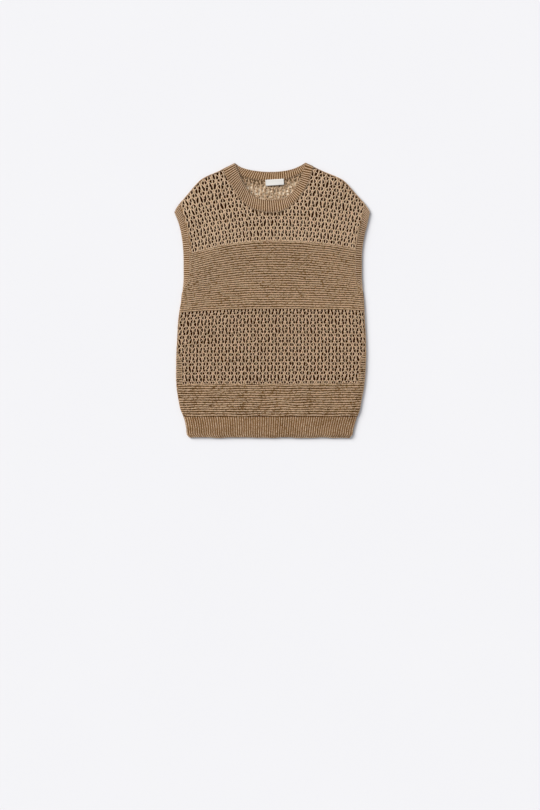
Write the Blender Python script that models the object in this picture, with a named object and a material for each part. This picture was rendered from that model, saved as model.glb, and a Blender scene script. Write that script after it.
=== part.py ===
"""Sleeveless open-knit sweater, laid flat with its front up.

Front and back panels are knitted in bands of garter ridges and pointelle lace, and rib is linked
on at the hem, the neck and both armholes. X runs across the garment, Y from hem to neck and Z up
from the surface that it lies on. Tables are in millimetres, with heights measured up from the
hem's edge, and the solids are in metres.
"""
import math
from collections import namedtuple

import bmesh
import bpy
import numpy as np

MM = 0.001

# Driving sizes, in millimetres.
LENGTH = 673.4              # hem edge to the neck's highest point
WALL = 2.6                  # thickness of the knitted cloth
SEAM_GAP = 0.3              # clearance between linked pieces
BACK_TOP = WALL             # the back lies on the surface
FRONT_BOTTOM = BACK_TOP + SEAM_GAP
FOLD_MIDDLE = BACK_TOP + SEAM_GAP / 2
SOFT_LIFT = 0.9             # air held between the front and the back
EDGE_ROLL = 7.0             # how far in the folded edge of the front is rounded
UNDER_ROLL = 3.0            # the same on the back's underside
EDGE_LIP = 0.7              # height of the front's wall at its very edge
LIFT_RUN = 26.0             # distance from the edge over which the front rises

RIDGE_PITCH = 5.75          # one garter ridge
RIDGE_RELIEF = 0.38
RIB_RELIEF = 0.42
HEM_RIB_PITCH = 5.6
NECK_RIB_PITCH = 5.8
ARMHOLE_RIB_PITCH = 5.3
LACE_WALE = 8.6             # half the width of one leaf repeat
LACE_COURSE = 11.7          # quarter of its height
YOKE_COURSE = 12.9
LEAF_RELIEF = (-0.42, -0.2, 0.34, 0.42)   # eyelets, their V, the leaf's base and its belly

YOKE_MARGIN = 7.0           # plain stitches left below the shoulders and the neck
YOKE_BORDER = 2.5           # and how near to them the yoke's own relief ends
BODY_HALF_WIDTH = 220.0     # over which a seam's clearance is shared out along a course
INNER_INSET = 0.4           # how much smaller a piece's inner face is, for its rounded border
HEM_RIB_ROWS = (0.0, 3.5, 24.0)   # heights of the points up a hem rib, below its seam
PLAIN_COUNT = 8             # columns of a face that shows no ribs

HEM_SEAM = 52.7
LABEL_SIZE = (45.0, 15.0, 0.6)
LABEL_PLACE = (6.0, 626.0)
LABEL_TILT = math.radians(3.5)

# Sides of the laid garment, from the hem's edge to the armhole's tip.
Side = namedtuple("Side", "height left right")
OUTLINE = (
    Side(0, -202, 189), Side(5, -207.5, 194.5), Side(22, -210.5, 199), Side(49, -216.5, 207),
    Side(68, -224.5, 214.5), Side(93, -230, 219), Side(122, -234.5, 224.5),
    Side(186, -236, 230), Side(245, -233.5, 229.5), Side(294, -230.3, 227),
    Side(333, -224, 225), Side(372, -218, 220.5), Side(421, -217, 219.5),
    Side(460, -218, 220.5), Side(495, -222, 226), Side(524, -228.5, 233), Side(553, -239.6, 239.3),
)
# The panels' own sides: the seam of the armhole band leaves the outline at the underarm, meets
# it again at the shoulder, and the last row only carries the fan of the stitches further up.
PANEL_SIDE = (
    Side(333, -224, 225), Side(361, -219.3, 221.5), Side(371, -213, 216), Side(383, -206.3, 209),
    Side(400, -202.8, 205.2), Side(421, -202.2, 204.6), Side(460, -203.2, 205.5),
    Side(495, -207.3, 211), Side(524, -213.5, 218), Side(548, -220.5, 223),
    Side(573, -228, 227.5), Side(620, -240, 239), Side(674, -253, 252),
)
SHOULDER = (
    Side(553, -239.6, 239.3), Side(563, -235.5, 234.5), Side(573, -228, 227.5),
    Side(583, -219, 218), Side(603, -202, 200), Side(622, -185.5, 183.5), Side(632, -175, 172),
    Side(642, -157, 151), Side(651.5, -134, 127), Side(658.5, -121, 113), Side(665, -110, 100.5),
    Side(674, -91.5, 81),
)
# Stations along the neckband: its seam and its free edge.
Neck = namedtuple("Neck", "seam_x seam_height free_x free_height")
NECK_FRONT = (
    Neck(-121, 658.5, -91.5, 673), Neck(-107, 630, -82, 650), Neck(-88, 599, -71, 625.5),
    Neck(-58, 568, -50, 596.5), Neck(-25, 555.7, -24, 584.5), Neck(3, 553.7, 0, 583),
    Neck(32, 559.5, 26, 586.5), Neck(62, 585, 47, 600.5), Neck(84, 617, 64, 626),
    Neck(95.5, 647, 74.5, 651), Neck(100.5, 665, 81, 674),
)
NECK_BACK = (
    Neck(-121, 658.5, -91.5, 673), Neck(-95, 648.5, -77, 663.5), Neck(-68, 640, -56, 657),
    Neck(-38, 632.5, -30, 653), Neck(-5, 630, -2, 651.7), Neck(28, 632, 26, 653.7),
    Neck(54, 641, 50, 658.8), Neck(80, 653.5, 68, 666.5), Neck(100.5, 665, 81, 674),
)
# Stations along an armhole band: the heights of its free edge and of its seam.
Armhole = namedtuple("Armhole", "free_height seam_height")
ARMHOLE = (
    Armhole(375, 361), Armhole(380, 371), Armhole(387, 383), Armhole(400, 400),
    Armhole(450, 451), Armhole(500, 503), Armhole(553, 573),
)
# Bands of stitches up the front: height of the band's top at the centre, and how far that
# course drops at the left and right sides.
Course = namedtuple("Course", "stitch top drop_left drop_right")
COURSES = (
    Course("garter", 132.3, 0.7, -2.7), Course("lace", 316.0, 9.7, 3.9),
    Course("garter", 485.1, 27.0, 17.0),
)
# Soft rises and hollows of the laid cloth: centre, half length, half width, turn and rise.
SoftFold = namedtuple("SoftFold", "x height length width turn rise")
SOFT_FOLDS = (
    SoftFold(-196, 545, 62, 11, 84, 1.3), SoftFold(205, 520, 55, 10, 97, 0.8),
    SoftFold(-112, 520, 80, 26, 55, 0.7), SoftFold(-112, 320, 42, 9, 68, 1.1),
    SoftFold(85, 345, 46, 22, 8, 1.0), SoftFold(-135, 88, 40, 18, 5, -0.8),
    SoftFold(25, 140, 60, 20, 3, 0.9), SoftFold(150, 205, 90, 24, 80, 0.6),
    SoftFold(-160, 230, 95, 22, 97, 0.7), SoftFold(0, 71, 240, 9, 0, 0.9),
    SoftFold(40, 475, 120, 16, 4, 0.5), SoftFold(-20, 250, 70, 18, 60, -0.5),
)
OUTLINE_STEP = 4.0          # between the points of the garment's outline
NECK_POINTS = 33            # along the back of the neck
ROLL_STEPS = (0.0, 1.5, 5.0, 14.0)   # columns that round each side over
BODY_COLUMNS = (-0.66, -0.38, -0.1, 0.18, 0.46, 0.7)
PLAIN_COLUMNS = (-0.5, 0.0, 0.5)

YARN = (0.30, 0.19, 0.105)
LABEL_WHITE = (0.86, 0.84, 0.81)


# ---- curves and the garment's map -------------------------------------------------------------

def smooth(places, values, place):
    """A smooth curve through a table's rows, read at one place."""
    places = np.asarray(places, float)
    values = np.asarray(values, float)
    slopes = np.gradient(values, places)
    row = int(np.clip(np.searchsorted(places, place) - 1, 0, len(places) - 2))
    step = places[row + 1] - places[row]
    t = (place - places[row]) / step
    rise = t * t * (3 - 2 * t)
    ease_out = t * (1 - t) ** 2 * step
    ease_in = t * t * (t - 1) * step
    return (values[row] * (1 - rise) + values[row + 1] * rise
            + slopes[row] * ease_out + slopes[row + 1] * ease_in)


def side_x(table, side, height):
    """Left or right edge of a side table at a height."""
    heights = [row.height for row in table]
    return float(smooth(heights, [getattr(row, side) for row in table], height))


def neck_point(table, edge, station):
    """A point of the neckband's seam or free edge, at a station along its table."""
    stations = range(len(table))
    xs = [getattr(row, edge + "_x") for row in table]
    heights = [getattr(row, edge + "_height") for row in table]
    return np.array([smooth(stations, xs, station), smooth(stations, heights, station)])


def panel_x(side, height):
    """Side edge of the panels, which follow the outline below the underarm."""
    table = OUTLINE if height <= PANEL_SIDE[0].height else PANEL_SIDE
    return side_x(table, side, height)


def wale_x(u, height):
    """Where the wale u, from -1 at the left side to 1 at the right one, runs at a height."""
    left, right = panel_x("left", height), panel_x("right", height)
    return (left + right) / 2 + u * (right - left) / 2


def course_height(course, u):
    """Height of a band's top course at the wale u."""
    drop = course.drop_left if u < 0 else course.drop_right
    return course.top - drop * u * u


def silhouette():
    """The laid garment's outline as a closed polygon."""
    points = []
    for side in ("left", "right"):
        rows = []
        for table in (OUTLINE, SHOULDER):
            heights = np.arange(table[0].height, table[-1].height, OUTLINE_STEP)
            rows += [(side_x(table, side, height), height) for height in heights]
        points += rows if side == "left" else rows[::-1]
        if side == "left":
            stations = np.linspace(0, len(NECK_BACK) - 1, NECK_POINTS)
            points += [tuple(neck_point(NECK_BACK, "free", station)) for station in stations]
    return np.array(points)


SILHOUETTE = silhouette()
SEGMENT_START = SILHOUETTE
SEGMENT_RUN = np.roll(SILHOUETTE, -1, axis=0) - SILHOUETTE
SEGMENT_SQUARE = np.maximum((SEGMENT_RUN ** 2).sum(axis=1), 1e-9)


def edge_distance(x, height):
    """How far inside the garment's outline a point lies."""
    offset = np.array([x, height]) - SEGMENT_START
    along = np.clip((offset * SEGMENT_RUN).sum(axis=1) / SEGMENT_SQUARE, 0, 1)
    nearest = SEGMENT_START + SEGMENT_RUN * along[:, None]
    return float(np.sqrt(((nearest - (x, height)) ** 2).sum(axis=1)).min())


def rounded(distance, reach):
    """0 at an edge and 1 past its reach, along a quarter circle."""
    t = min(max(distance / reach, 0.0), 1.0)
    return math.sqrt(1 - (1 - t) ** 2)


def soft_lift(x, height):
    """How far the front rises off the back, with its soft folds."""
    rise = SOFT_LIFT
    for fold in SOFT_FOLDS:
        turn = math.radians(fold.turn)
        along = (x - fold.x) * math.cos(turn) + (height - fold.height) * math.sin(turn)
        across = (height - fold.height) * math.cos(turn) - (x - fold.x) * math.sin(turn)
        rise += fold.rise * math.exp(-(along / fold.length) ** 2 - (across / fold.width) ** 2)
    fade = min(edge_distance(x, height) / LIFT_RUN, 1.0)
    return max(rise, 0.0) * fade * fade * (3 - 2 * fade)


def front_top(x, height):
    """Height of the front's upper face above the surface, before its stitch relief."""
    wall = EDGE_LIP + (WALL - EDGE_LIP) * rounded(edge_distance(x, height), EDGE_ROLL)
    return FRONT_BOTTOM + soft_lift(x, height) + wall


def front_under(x, height):
    return FRONT_BOTTOM + soft_lift(x, height)


def back_under(x, height):
    """The back's underside: flat on the surface, rounded up at the outline."""
    rise = 1 - rounded(edge_distance(x, height), UNDER_ROLL)
    return (BACK_TOP - EDGE_LIP) * rise


def back_top(x, height):
    return BACK_TOP


# ---- meshes -----------------------------------------------------------------------------------

def add_point(mesh, x, height, z):
    return mesh.verts.new((x * MM, (height - LENGTH / 2) * MM, z * MM))


def run_lengths(row):
    """Share of a row's length at each of its points."""
    steps = [0.0]
    for before, after in zip(row, row[1:]):
        steps.append(steps[-1] + (after.co - before.co).length)
    return [step / steps[-1] for step in steps]


def fill_between(mesh, lower, upper):
    """Fill the strip between two rows of points, which may differ in number."""
    if len(lower) == len(upper):
        for k in range(len(lower) - 1):
            mesh.faces.new((lower[k], lower[k + 1], upper[k + 1], upper[k]))
        return
    lower_share, upper_share = run_lengths(lower), run_lengths(upper)
    i = j = 0
    while i < len(lower) - 1 or j < len(upper) - 1:
        take_lower = j == len(upper) - 1
        if i < len(lower) - 1 and j < len(upper) - 1:
            take_lower = lower_share[i + 1] <= upper_share[j + 1]
        if take_lower:
            mesh.faces.new((lower[i], lower[i + 1], upper[j]))
            i += 1
        else:
            mesh.faces.new((lower[i], upper[j + 1], upper[j]))
            j += 1


def knit_material(name, colour, roughness):
    material = bpy.data.materials.new(name)
    material.use_nodes = True
    shader = material.node_tree.nodes["Principled BSDF"]
    shader.inputs["Base Color"].default_value = (*colour, 1)
    shader.inputs["Roughness"].default_value = roughness
    shader.inputs["Metallic"].default_value = 0
    return material


def finish_piece(name, mesh, material, collection):
    """Close one piece's mesh, turn its faces outwards and put it in the garment."""
    bmesh.ops.recalc_face_normals(mesh, faces=mesh.faces)
    data = bpy.data.meshes.new(name)
    mesh.to_mesh(data)
    mesh.free()
    data.materials.append(material)
    piece = bpy.data.objects.new(name, data)
    collection.objects.link(piece)
    return piece


# ---- front and back panels ----------------------------------------------------------------------

def wales(inner):
    """Columns from side to side, closer together where the cloth rounds over its sides."""
    half = (PANEL_SIDE[0].right - PANEL_SIDE[0].left) / 2
    left = [-1 + step / half for step in ROLL_STEPS]
    return left + list(inner) + [-u for u in reversed(left)]


def lace_wales():
    """Columns at half a leaf repeat, with one at each corner of the neck."""
    count = int(round((OUTLINE[8].right - OUTLINE[8].left) / LACE_WALE))
    columns = list(np.linspace(-1, 1, count + 1))
    for corner in (NECK_FRONT[0], NECK_FRONT[-1]):
        left, right = (panel_x(side, corner.seam_height) for side in ("left", "right"))
        u = (2 * corner.seam_x - left - right) / (right - left)
        nearest = min(range(len(columns)), key=lambda k: abs(columns[k] - u))
        columns[nearest] = u
    return columns


def bisect(test, low, high):
    """Where a test that is negative at low and positive at high changes sign."""
    for _ in range(40):
        middle = (low + high) / 2
        if test(middle) < 0:
            low = middle
        else:
            high = middle
    return (low + high) / 2


def neck_seam(table, columns):
    """Points where the wales meet the neck's seam, as (wale's number, x, height)."""
    last = len(table) - 1
    points = []
    for number, u in enumerate(columns):
        def ahead(station):
            x, height = neck_point(table, "seam", station)
            return x - wale_x(u, height)
        if ahead(0) > 1e-6 or ahead(last) < -1e-6:
            continue
        x, height = neck_point(table, "seam", bisect(ahead, 0, last))
        points.append((number, x, height))
    return points


def shoulder_end(u):
    """Where a wale meets the shoulder line."""
    side = "left" if u < 0 else "right"
    outward = -1 if u < 0 else 1

    def beyond(height):
        return outward * (wale_x(u, height) - side_x(SHOULDER, side, height))
    height = bisect(beyond, SHOULDER[2].height, SHOULDER[-1].height)
    return side_x(SHOULDER, side, height), height


def wale_ends(table, columns):
    """Top end of every wale, on the neck's seam or on the shoulder line."""
    ends = {number: (x, height) for number, x, height in neck_seam(table, columns)}
    return [ends.get(k) or shoulder_end(u) for k, u in enumerate(columns)]


def inset_from_seams(ends, gap):
    """Move the wales' ends back from the neck's seam by half of the seam's clearance."""
    moved = []
    for k, (x, height) in enumerate(ends):
        before, after = ends[max(k - 1, 0)], ends[min(k + 1, len(ends) - 1)]
        run, climb = after[0] - before[0], after[1] - before[1]
        length = math.hypot(run, climb)
        moved.append((x + climb / length * gap, height - run / length * gap))
    return moved


def garter_rows(low, high, relief):
    """Crest and valley rows of a garter band, as (height at each wale, relief)."""
    ridges = int(round((high(0.0) - low(0.0)) / RIDGE_PITCH))
    rows = []
    for k in range(2 * ridges + 1):
        share = k / (2 * ridges)
        height = lambda u, share=share: low(u) + (high(u) - low(u)) * share
        rows.append((height, -relief if k % 2 == 0 else relief))
    return rows


def panel_face(mesh, surface, columns, yoke_columns, ends, relief, inset):
    """One face of a panel. Gives back its border rows: bottom, right, top, left."""
    def point(u, height, raised=0.0):
        pull = 1 - inset / BODY_HALF_WIDTH
        return add_point(mesh, wale_x(u * pull, height), height,
                         surface(wale_x(u * pull, height), height) + raised)

    rows = []
    low = lambda u: HEM_SEAM + SEAM_GAP / 2 + inset
    for course in COURSES:
        high = lambda u, course=course: course_height(course, u)
        if course.stitch == "garter":
            for height, raised in garter_rows(low, high, RIDGE_RELIEF * relief):
                rows.append([point(u, height(u), raised) for u in columns])
        else:
            steps = int(round((high(0.0) - low(0.0)) / LACE_COURSE))
            border = RIDGE_PITCH / 2 / (high(0.0) - low(0.0))
            used = yoke_columns if relief else columns
            for k in range(steps + 1):
                share = min(max(k / steps, border), 1 - border)
                row = []
                for number, u in enumerate(used):
                    leaf = LEAF_RELIEF[(k + 2 * (number % 2)) % 4] if 0 < k < steps else 0
                    height = low(u) + (high(u) - low(u)) * share
                    row.append(point(u, height, leaf * relief))
                rows.append(row)
        low = high
    for lower, upper in zip(rows, rows[1:]):
        fill_between(mesh, lower, upper)

    wale_rows = []
    for number, (u, (top_x, top_height)) in enumerate(zip(yoke_columns, ends)):
        base = course_height(COURSES[-1], u) + RIDGE_PITCH / 2
        at_side = number in (0, len(yoke_columns) - 1)
        course = YOKE_COURSE if relief or at_side else LENGTH
        heights = np.arange(base, top_height - YOKE_MARGIN, course)
        leaves = [LEAF_RELIEF[(k + 2 * (number % 2)) % 4] if k else 0 for k in range(len(heights))]
        run = [point(u, height, leaf * relief) for height, leaf in zip(heights, leaves)]
        if relief:
            run.append(point(u, top_height - YOKE_BORDER))
        run.append(add_point(mesh, top_x, top_height, surface(top_x, top_height)))
        wale_rows.append(run)
    fill_between(mesh, rows[-1], [run[0] for run in wale_rows])
    for left, right in zip(wale_rows, wale_rows[1:]):
        fill_between(mesh, right, left)

    left_side = [row[0] for row in rows] + wale_rows[0]
    right_side = [row[-1] for row in rows] + wale_rows[-1]
    return rows[0], right_side, [run[-1] for run in wale_rows], left_side


def build_panel(name, neck, outer, inner, columns, relief, material, collection):
    """A panel: two faces with their own stitches, joined round the border."""
    mesh = bmesh.new()
    yoke_columns = lace_wales()
    ends = inset_from_seams(wale_ends(neck, yoke_columns), SEAM_GAP / 2)
    inner_gap = SEAM_GAP / 2 + INNER_INSET
    inner_ends = inset_from_seams(wale_ends(neck, yoke_columns), inner_gap)
    outer_rim = panel_face(mesh, outer, columns, yoke_columns, ends, relief, SEAM_GAP / 2)
    inner_rim = panel_face(mesh, inner, wales(PLAIN_COLUMNS)[::2], yoke_columns, inner_ends, 0,
                           inner_gap)
    for outside, inside in zip(outer_rim, inner_rim):
        fill_between(mesh, outside, inside)
    return finish_piece(name, mesh, material, collection)


# ---- hem ribs -----------------------------------------------------------------------------------

def build_hem_rib(name, outer, inner, ribs, material, collection):
    """A strip of 1x1 rib below the hem seam, its wales raised on the outer face."""
    mesh = bmesh.new()
    top = HEM_SEAM - SEAM_GAP / 2

    def face(surface, heights, count, relief, inset):
        rows = []
        for height in heights:
            left, right = side_x(OUTLINE, "left", height), side_x(OUTLINE, "right", height)
            row = []
            for k in range(count + 1):
                x = left + inset + (right - left - 2 * inset) * k / count
                raised = relief if k % 2 else -relief
                border = k in (0, count) or height == heights[0]
                row.append(add_point(mesh, x, height, surface(x, height)
                                     + (0 if border else raised)))
            rows.append(row)
        for lower, upper in zip(rows, rows[1:]):
            fill_between(mesh, lower, upper)
        return rows[0], [r[-1] for r in rows], rows[-1], [r[0] for r in rows]

    count = 2 * ribs if ribs else PLAIN_COUNT
    relief = RIB_RELIEF if ribs else 0
    outside = face(outer, (*HEM_RIB_ROWS, top), count, relief, 0.0)
    inner_rows = (INNER_INSET, *HEM_RIB_ROWS[1:], top - INNER_INSET / 2)
    inside = face(inner, inner_rows, PLAIN_COUNT, 0, INNER_INSET)
    for outer_row, inner_row in zip(outside, inside):
        fill_between(mesh, outer_row, inner_row)
    return finish_piece(name, mesh, material, collection)


# ---- bands that are folded flat: neck and armholes ------------------------------------------------

# A band's wall at one place: its outer and inner face from free edge to seam, and its layer.
Station = namedtuple("Station", "outer inner layer rib")
# Round a fold, in distance along the seam from the folded edge: outer face, inner face, layer.
FOLD_STEPS = ((7.0, 7.0, 0), (1.6, 4.2, 0), (0.0, 4.4, 1), (1.6, 4.2, 2), (7.0, 7.0, 2))
STRIP_POINTS = 241          # at which a layer's seam is measured
BAND_BORDER = 0.07          # share of a band's width that rounds its free edge and its seam


def band_section(mesh, station):
    """Points round the wall of a band at one station, from its free edge to its seam."""
    def across(edges, share):
        free, seam = edges
        seam = seam + (free - seam) / np.linalg.norm(free - seam) * SEAM_GAP / 2
        return free + (seam - free) * share

    def face_point(share, outer):
        place = across(station.outer if outer else station.inner, share)
        if station.layer == "front":
            z = front_top(*place) + station.rib if outer else front_under(*place)
        elif station.layer == "back":
            z = back_under(*place) if outer else BACK_TOP - max(-station.rib, 0)
        else:
            z = FOLD_MIDDLE
        return np.array([*place, z])

    def rim(share, nearby):
        middle = (across(station.outer, share) + across(station.inner, share)) / 2
        z = (face_point(nearby, True)[2] + face_point(nearby, False)[2]) / 2
        return np.array([*middle, z])

    near_free, near_seam = BAND_BORDER, 1 - BAND_BORDER
    section = [rim(0.0, near_free)]
    section += [face_point(share, True) for share in (near_free, 0.5, near_seam)]
    section.append(rim(1.0, near_seam))
    section += [face_point(share, False) for share in (near_seam, near_free)]
    return [add_point(mesh, *point) for point in section]


def close_band(mesh, sections):
    """Join the sections round the ring."""
    for before, after in zip(sections, sections[1:] + sections[:1]):
        for k in range(len(before)):
            following = (k + 1) % len(before)
            mesh.faces.new((before[k], before[following], after[following], after[k]))


class Strip:
    """One layer of a band: its free edge and seam, read by the distance along the seam."""

    def __init__(self, edges_at, last, layer):
        self.edges_at = edges_at
        self.values = np.linspace(0, last, STRIP_POINTS)
        seam = np.array([edges_at(value)[1] for value in self.values])
        steps = np.hypot(*np.diff(seam, axis=0).T)
        self.run = np.concatenate([[0], np.cumsum(steps)])
        self.length = self.run[-1]
        self.layer = layer

    def edges(self, distance):
        return self.edges_at(float(np.interp(distance, self.run, self.values)))

    def ribbed(self, pitch, relief):
        """Stations on every crest and valley between the two folds."""
        margin = FOLD_STEPS[0][0] + pitch / 2
        count = 2 * int(round((self.length - 2 * margin) / pitch))
        stations = []
        for k, distance in enumerate(np.linspace(margin, self.length - margin, count + 1)):
            edges = self.edges(distance)
            stations.append(Station(edges, edges, self.layer, relief if k % 2 else -relief))
        return stations


def fold_stations(first, second, at_end):
    """Stations that carry a band round a folded edge, from one layer to the other."""
    def edges(strip, distance):
        return strip.edges(strip.length - distance if at_end else distance)

    stations = []
    for outer, inner, layer in FOLD_STEPS:
        if layer == 1:
            middle = [(a + b) / 2 for a, b in zip(edges(first, inner), edges(second, inner))]
            stations.append(Station(edges(first, outer), middle, "fold", 0.0))
        else:
            strip = (first, None, second)[layer]
            stations.append(Station(edges(strip, outer), edges(strip, inner), strip.layer, 0.0))
    return stations


def build_band(name, front, back, pitch, back_relief, material, collection):
    """A ring of rib folded flat: its front, the far fold, its back and the near fold."""
    mesh = bmesh.new()
    stations = front.ribbed(pitch, RIB_RELIEF)
    stations += fold_stations(front, back, True)
    stations += back.ribbed(pitch if back_relief else 2 * pitch, back_relief)[::-1]
    stations += fold_stations(back, front, False)
    close_band(mesh, [band_section(mesh, station) for station in stations])
    return finish_piece(name, mesh, material, collection)


def build_neckband(material, collection):
    """The neck's ring of rib, folded over both shoulders, its back part inside up."""
    columns = lace_wales()
    strips = []
    for table, layer in ((NECK_FRONT, "front"), (NECK_BACK, "back")):
        seam = neck_seam(table, columns)
        seam_x = [x for _, x, _ in seam]
        seam_height = [height for _, _, height in seam]

        def edges_at(station, table=table, seam_x=seam_x, seam_height=seam_height):
            x, _ = neck_point(table, "seam", station)
            seam_place = np.array([x, np.interp(x, seam_x, seam_height)])
            return neck_point(table, "free", station), seam_place
        strips.append(Strip(edges_at, len(table) - 1, layer))
    return build_band("neckband", *strips, NECK_RIB_PITCH, RIB_RELIEF, material, collection)


def build_armhole_band(side, material, collection):
    """An armhole's ring of rib, folded at the underarm and on the shoulder."""
    outward = -1 if side == "left" else 1
    rows = range(len(ARMHOLE))

    def edges_at(row):
        free_height = smooth(rows, [r.free_height for r in ARMHOLE], row)
        seam_height = smooth(rows, [r.seam_height for r in ARMHOLE], row)
        free = np.array([side_x(OUTLINE, side, free_height), free_height])
        seam = np.array([panel_x(side, seam_height) + outward * SEAM_GAP / 2, seam_height])
        return free, seam

    strips = [Strip(edges_at, len(ARMHOLE) - 1, layer) for layer in ("front", "back")]
    return build_band("armhole_band_" + side, *strips, ARMHOLE_RIB_PITCH, 0, material, collection)


# ---- label and assembly ---------------------------------------------------------------------------

def build_label(material, collection):
    """The woven label inside the back of the neck, left bare."""
    width, depth, thickness = (size * MM for size in LABEL_SIZE)
    mesh = bmesh.new()
    bmesh.ops.create_cube(mesh, size=1.0)
    bmesh.ops.scale(mesh, vec=(width, depth, thickness), verts=mesh.verts)
    label = finish_piece("neck_label", mesh, material, collection)
    label.location = (LABEL_PLACE[0] * MM, (LABEL_PLACE[1] - LENGTH / 2) * MM,
                      (BACK_TOP + SEAM_GAP) * MM + thickness / 2)
    label.rotation_euler[2] = LABEL_TILT
    return label


def clear_scene():
    for item in list(bpy.data.objects):
        bpy.data.objects.remove(item, do_unlink=True)


def build():
    clear_scene()
    garment = bpy.data.collections.new("open_knit_sweater")
    bpy.context.scene.collection.children.link(garment)
    body_knit = knit_material("knit_body", YARN, 0.9)
    rib_knit = knit_material("knit_rib", YARN, 0.88)
    woven = knit_material("woven_label", LABEL_WHITE, 0.6)
    build_panel("front_panel", NECK_FRONT, front_top, front_under, wales(BODY_COLUMNS), 1,
                body_knit, garment)
    build_panel("back_panel", NECK_BACK, back_under, back_top, wales(PLAIN_COLUMNS)[::2], 0,
                body_knit, garment)
    width = OUTLINE[3].right - OUTLINE[3].left
    build_hem_rib("hem_rib_front", front_top, front_under, int(width / HEM_RIB_PITCH), rib_knit,
                  garment)
    build_hem_rib("hem_rib_back", back_under, back_top, 0, rib_knit, garment)
    build_neckband(rib_knit, garment)
    for side in ("left", "right"):
        build_armhole_band(side, rib_knit, garment)
    build_label(woven, garment)


build()
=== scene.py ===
"""Sleeveless open-knit sweater, laid flat with its front up on a pale table.

Every stitch is its own length of yarn: lace, garter ridges and ribs are knitted over the laid shape
of the garment, then linked together. Sizes are in millimetres, with heights measured up from the
hem's edge, until a mesh is made, which is in metres with the garment's centre at the origin.
"""

import math
from collections import namedtuple
from functools import partial

import bpy
import numpy as np
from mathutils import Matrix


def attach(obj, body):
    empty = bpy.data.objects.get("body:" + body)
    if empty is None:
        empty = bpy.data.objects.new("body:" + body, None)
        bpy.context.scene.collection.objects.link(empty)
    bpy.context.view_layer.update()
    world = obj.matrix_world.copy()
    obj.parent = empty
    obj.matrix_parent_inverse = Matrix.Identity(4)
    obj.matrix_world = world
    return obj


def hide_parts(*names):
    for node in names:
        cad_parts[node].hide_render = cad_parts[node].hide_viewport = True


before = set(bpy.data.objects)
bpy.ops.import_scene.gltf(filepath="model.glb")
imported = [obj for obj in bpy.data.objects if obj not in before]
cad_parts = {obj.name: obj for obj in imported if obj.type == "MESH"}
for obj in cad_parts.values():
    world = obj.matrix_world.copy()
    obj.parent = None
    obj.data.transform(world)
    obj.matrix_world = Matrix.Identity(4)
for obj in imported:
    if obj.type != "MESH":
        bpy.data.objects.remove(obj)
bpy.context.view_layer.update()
MM = 0.001


# ---- Table, light and camera ----
# The sweater lies on a plain pale table, lit by soft daylight from the upper left and by the white
# room. It is seen from straight above, with a lot of empty table below it.

SEEN_HEIGHT = 1984.5        # of table, from the top of the picture to its bottom
VIEW_CENTRE = (-5.6, -255.9)
CAMERA_HEIGHT, CAMERA_SIGHT = 5.0, 100.0    # in metres, as is the table's size
TABLE_SIZE = 60.0
TABLE_DROP = 0.3            # keeps the table clear of the cloth's underside
SENSOR = 36.0
TABLE_WHITE, TABLE_GRAIN = (0.80, 0.80, 0.825, 1), (0.815, 0.815, 0.835, 1)
ROOM_WHITE = (0.97, 0.98, 1.0, 1)
ROOM_STRENGTH = 0.46
DAYLIGHT_FROM = (-0.84, 0.64, 0.56)
DAYLIGHT_COLOR = (1.0, 0.99, 0.975)
DAYLIGHT_SPREAD = math.radians(34)
DAYLIGHT_STRENGTH = 4.55


def feed(tree, node, inputs):
    """Set a node's inputs by name; a socket given as input is linked."""
    for name, value in inputs.items():
        if isinstance(value, bpy.types.NodeSocket):
            tree.links.new(value, node.inputs[name])
        else:
            node.inputs[name].default_value = value
    return node


def add_node(tree, kind, inputs, **settings):
    """A shader node, with its settings and inputs given by name."""
    node = tree.nodes.new("ShaderNode" + kind)
    for name, value in settings.items():
        setattr(node, name, value)
    return feed(tree, node, inputs)


def noise(tree, place, scale, detail, roughness=0.5):
    return add_node(tree, "TexNoise", {"Vector": place, "Scale": scale, "Detail": detail,
                                       "Roughness": roughness}).outputs["Fac"]


def new_material(name):
    """An empty material with its tree, principled shader and object coordinates."""
    material = bpy.data.materials.new(name)
    material.use_nodes = True
    tree = material.node_tree
    tree.nodes.clear()
    shader = add_node(tree, "BsdfPrincipled", {})
    add_node(tree, "OutputMaterial", {"Surface": shader.outputs["BSDF"]})
    return material, tree, shader, add_node(tree, "TexCoord", {}).outputs["Object"]


table_finish, tree, shader, place = new_material("pale_table")
paper = add_node(tree, "MixRGB", {"Fac": noise(tree, place, 3.0, 3.0), "Color1": TABLE_WHITE,
                                  "Color2": TABLE_GRAIN})
feed(tree, shader, {"Base Color": paper.outputs["Color"], "Roughness": 0.9})


def add_object(name, data):
    thing = bpy.data.objects.new(name, data)
    bpy.context.scene.collection.objects.link(thing)
    return thing


half = TABLE_SIZE / 2
table_mesh = bpy.data.meshes.new("table")
table_mesh.from_pydata([(-half, -half, 0), (half, -half, 0), (half, half, 0), (-half, half, 0)],
                       [], [(0, 1, 2, 3)])
table_mesh.materials.append(table_finish)
table = add_object("table", table_mesh)
table.location.z = -TABLE_DROP * MM

daylight_lamp = bpy.data.lights.new("daylight", "SUN")
daylight_lamp.angle = DAYLIGHT_SPREAD
daylight_lamp.energy = DAYLIGHT_STRENGTH
daylight_lamp.color = DAYLIGHT_COLOR
daylight = add_object("daylight", daylight_lamp)
daylight.location = DAYLIGHT_FROM
daylight.rotation_mode = "QUATERNION"
daylight.rotation_quaternion = (-daylight.location).to_track_quat("-Z", "Y")

room = bpy.data.worlds.new("room")
room.use_nodes = True
feed(room.node_tree, room.node_tree.nodes["Background"],
     {"Color": ROOM_WHITE, "Strength": ROOM_STRENGTH})
bpy.context.scene.world = room
bpy.context.scene.view_settings.view_transform = "Standard"

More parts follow.
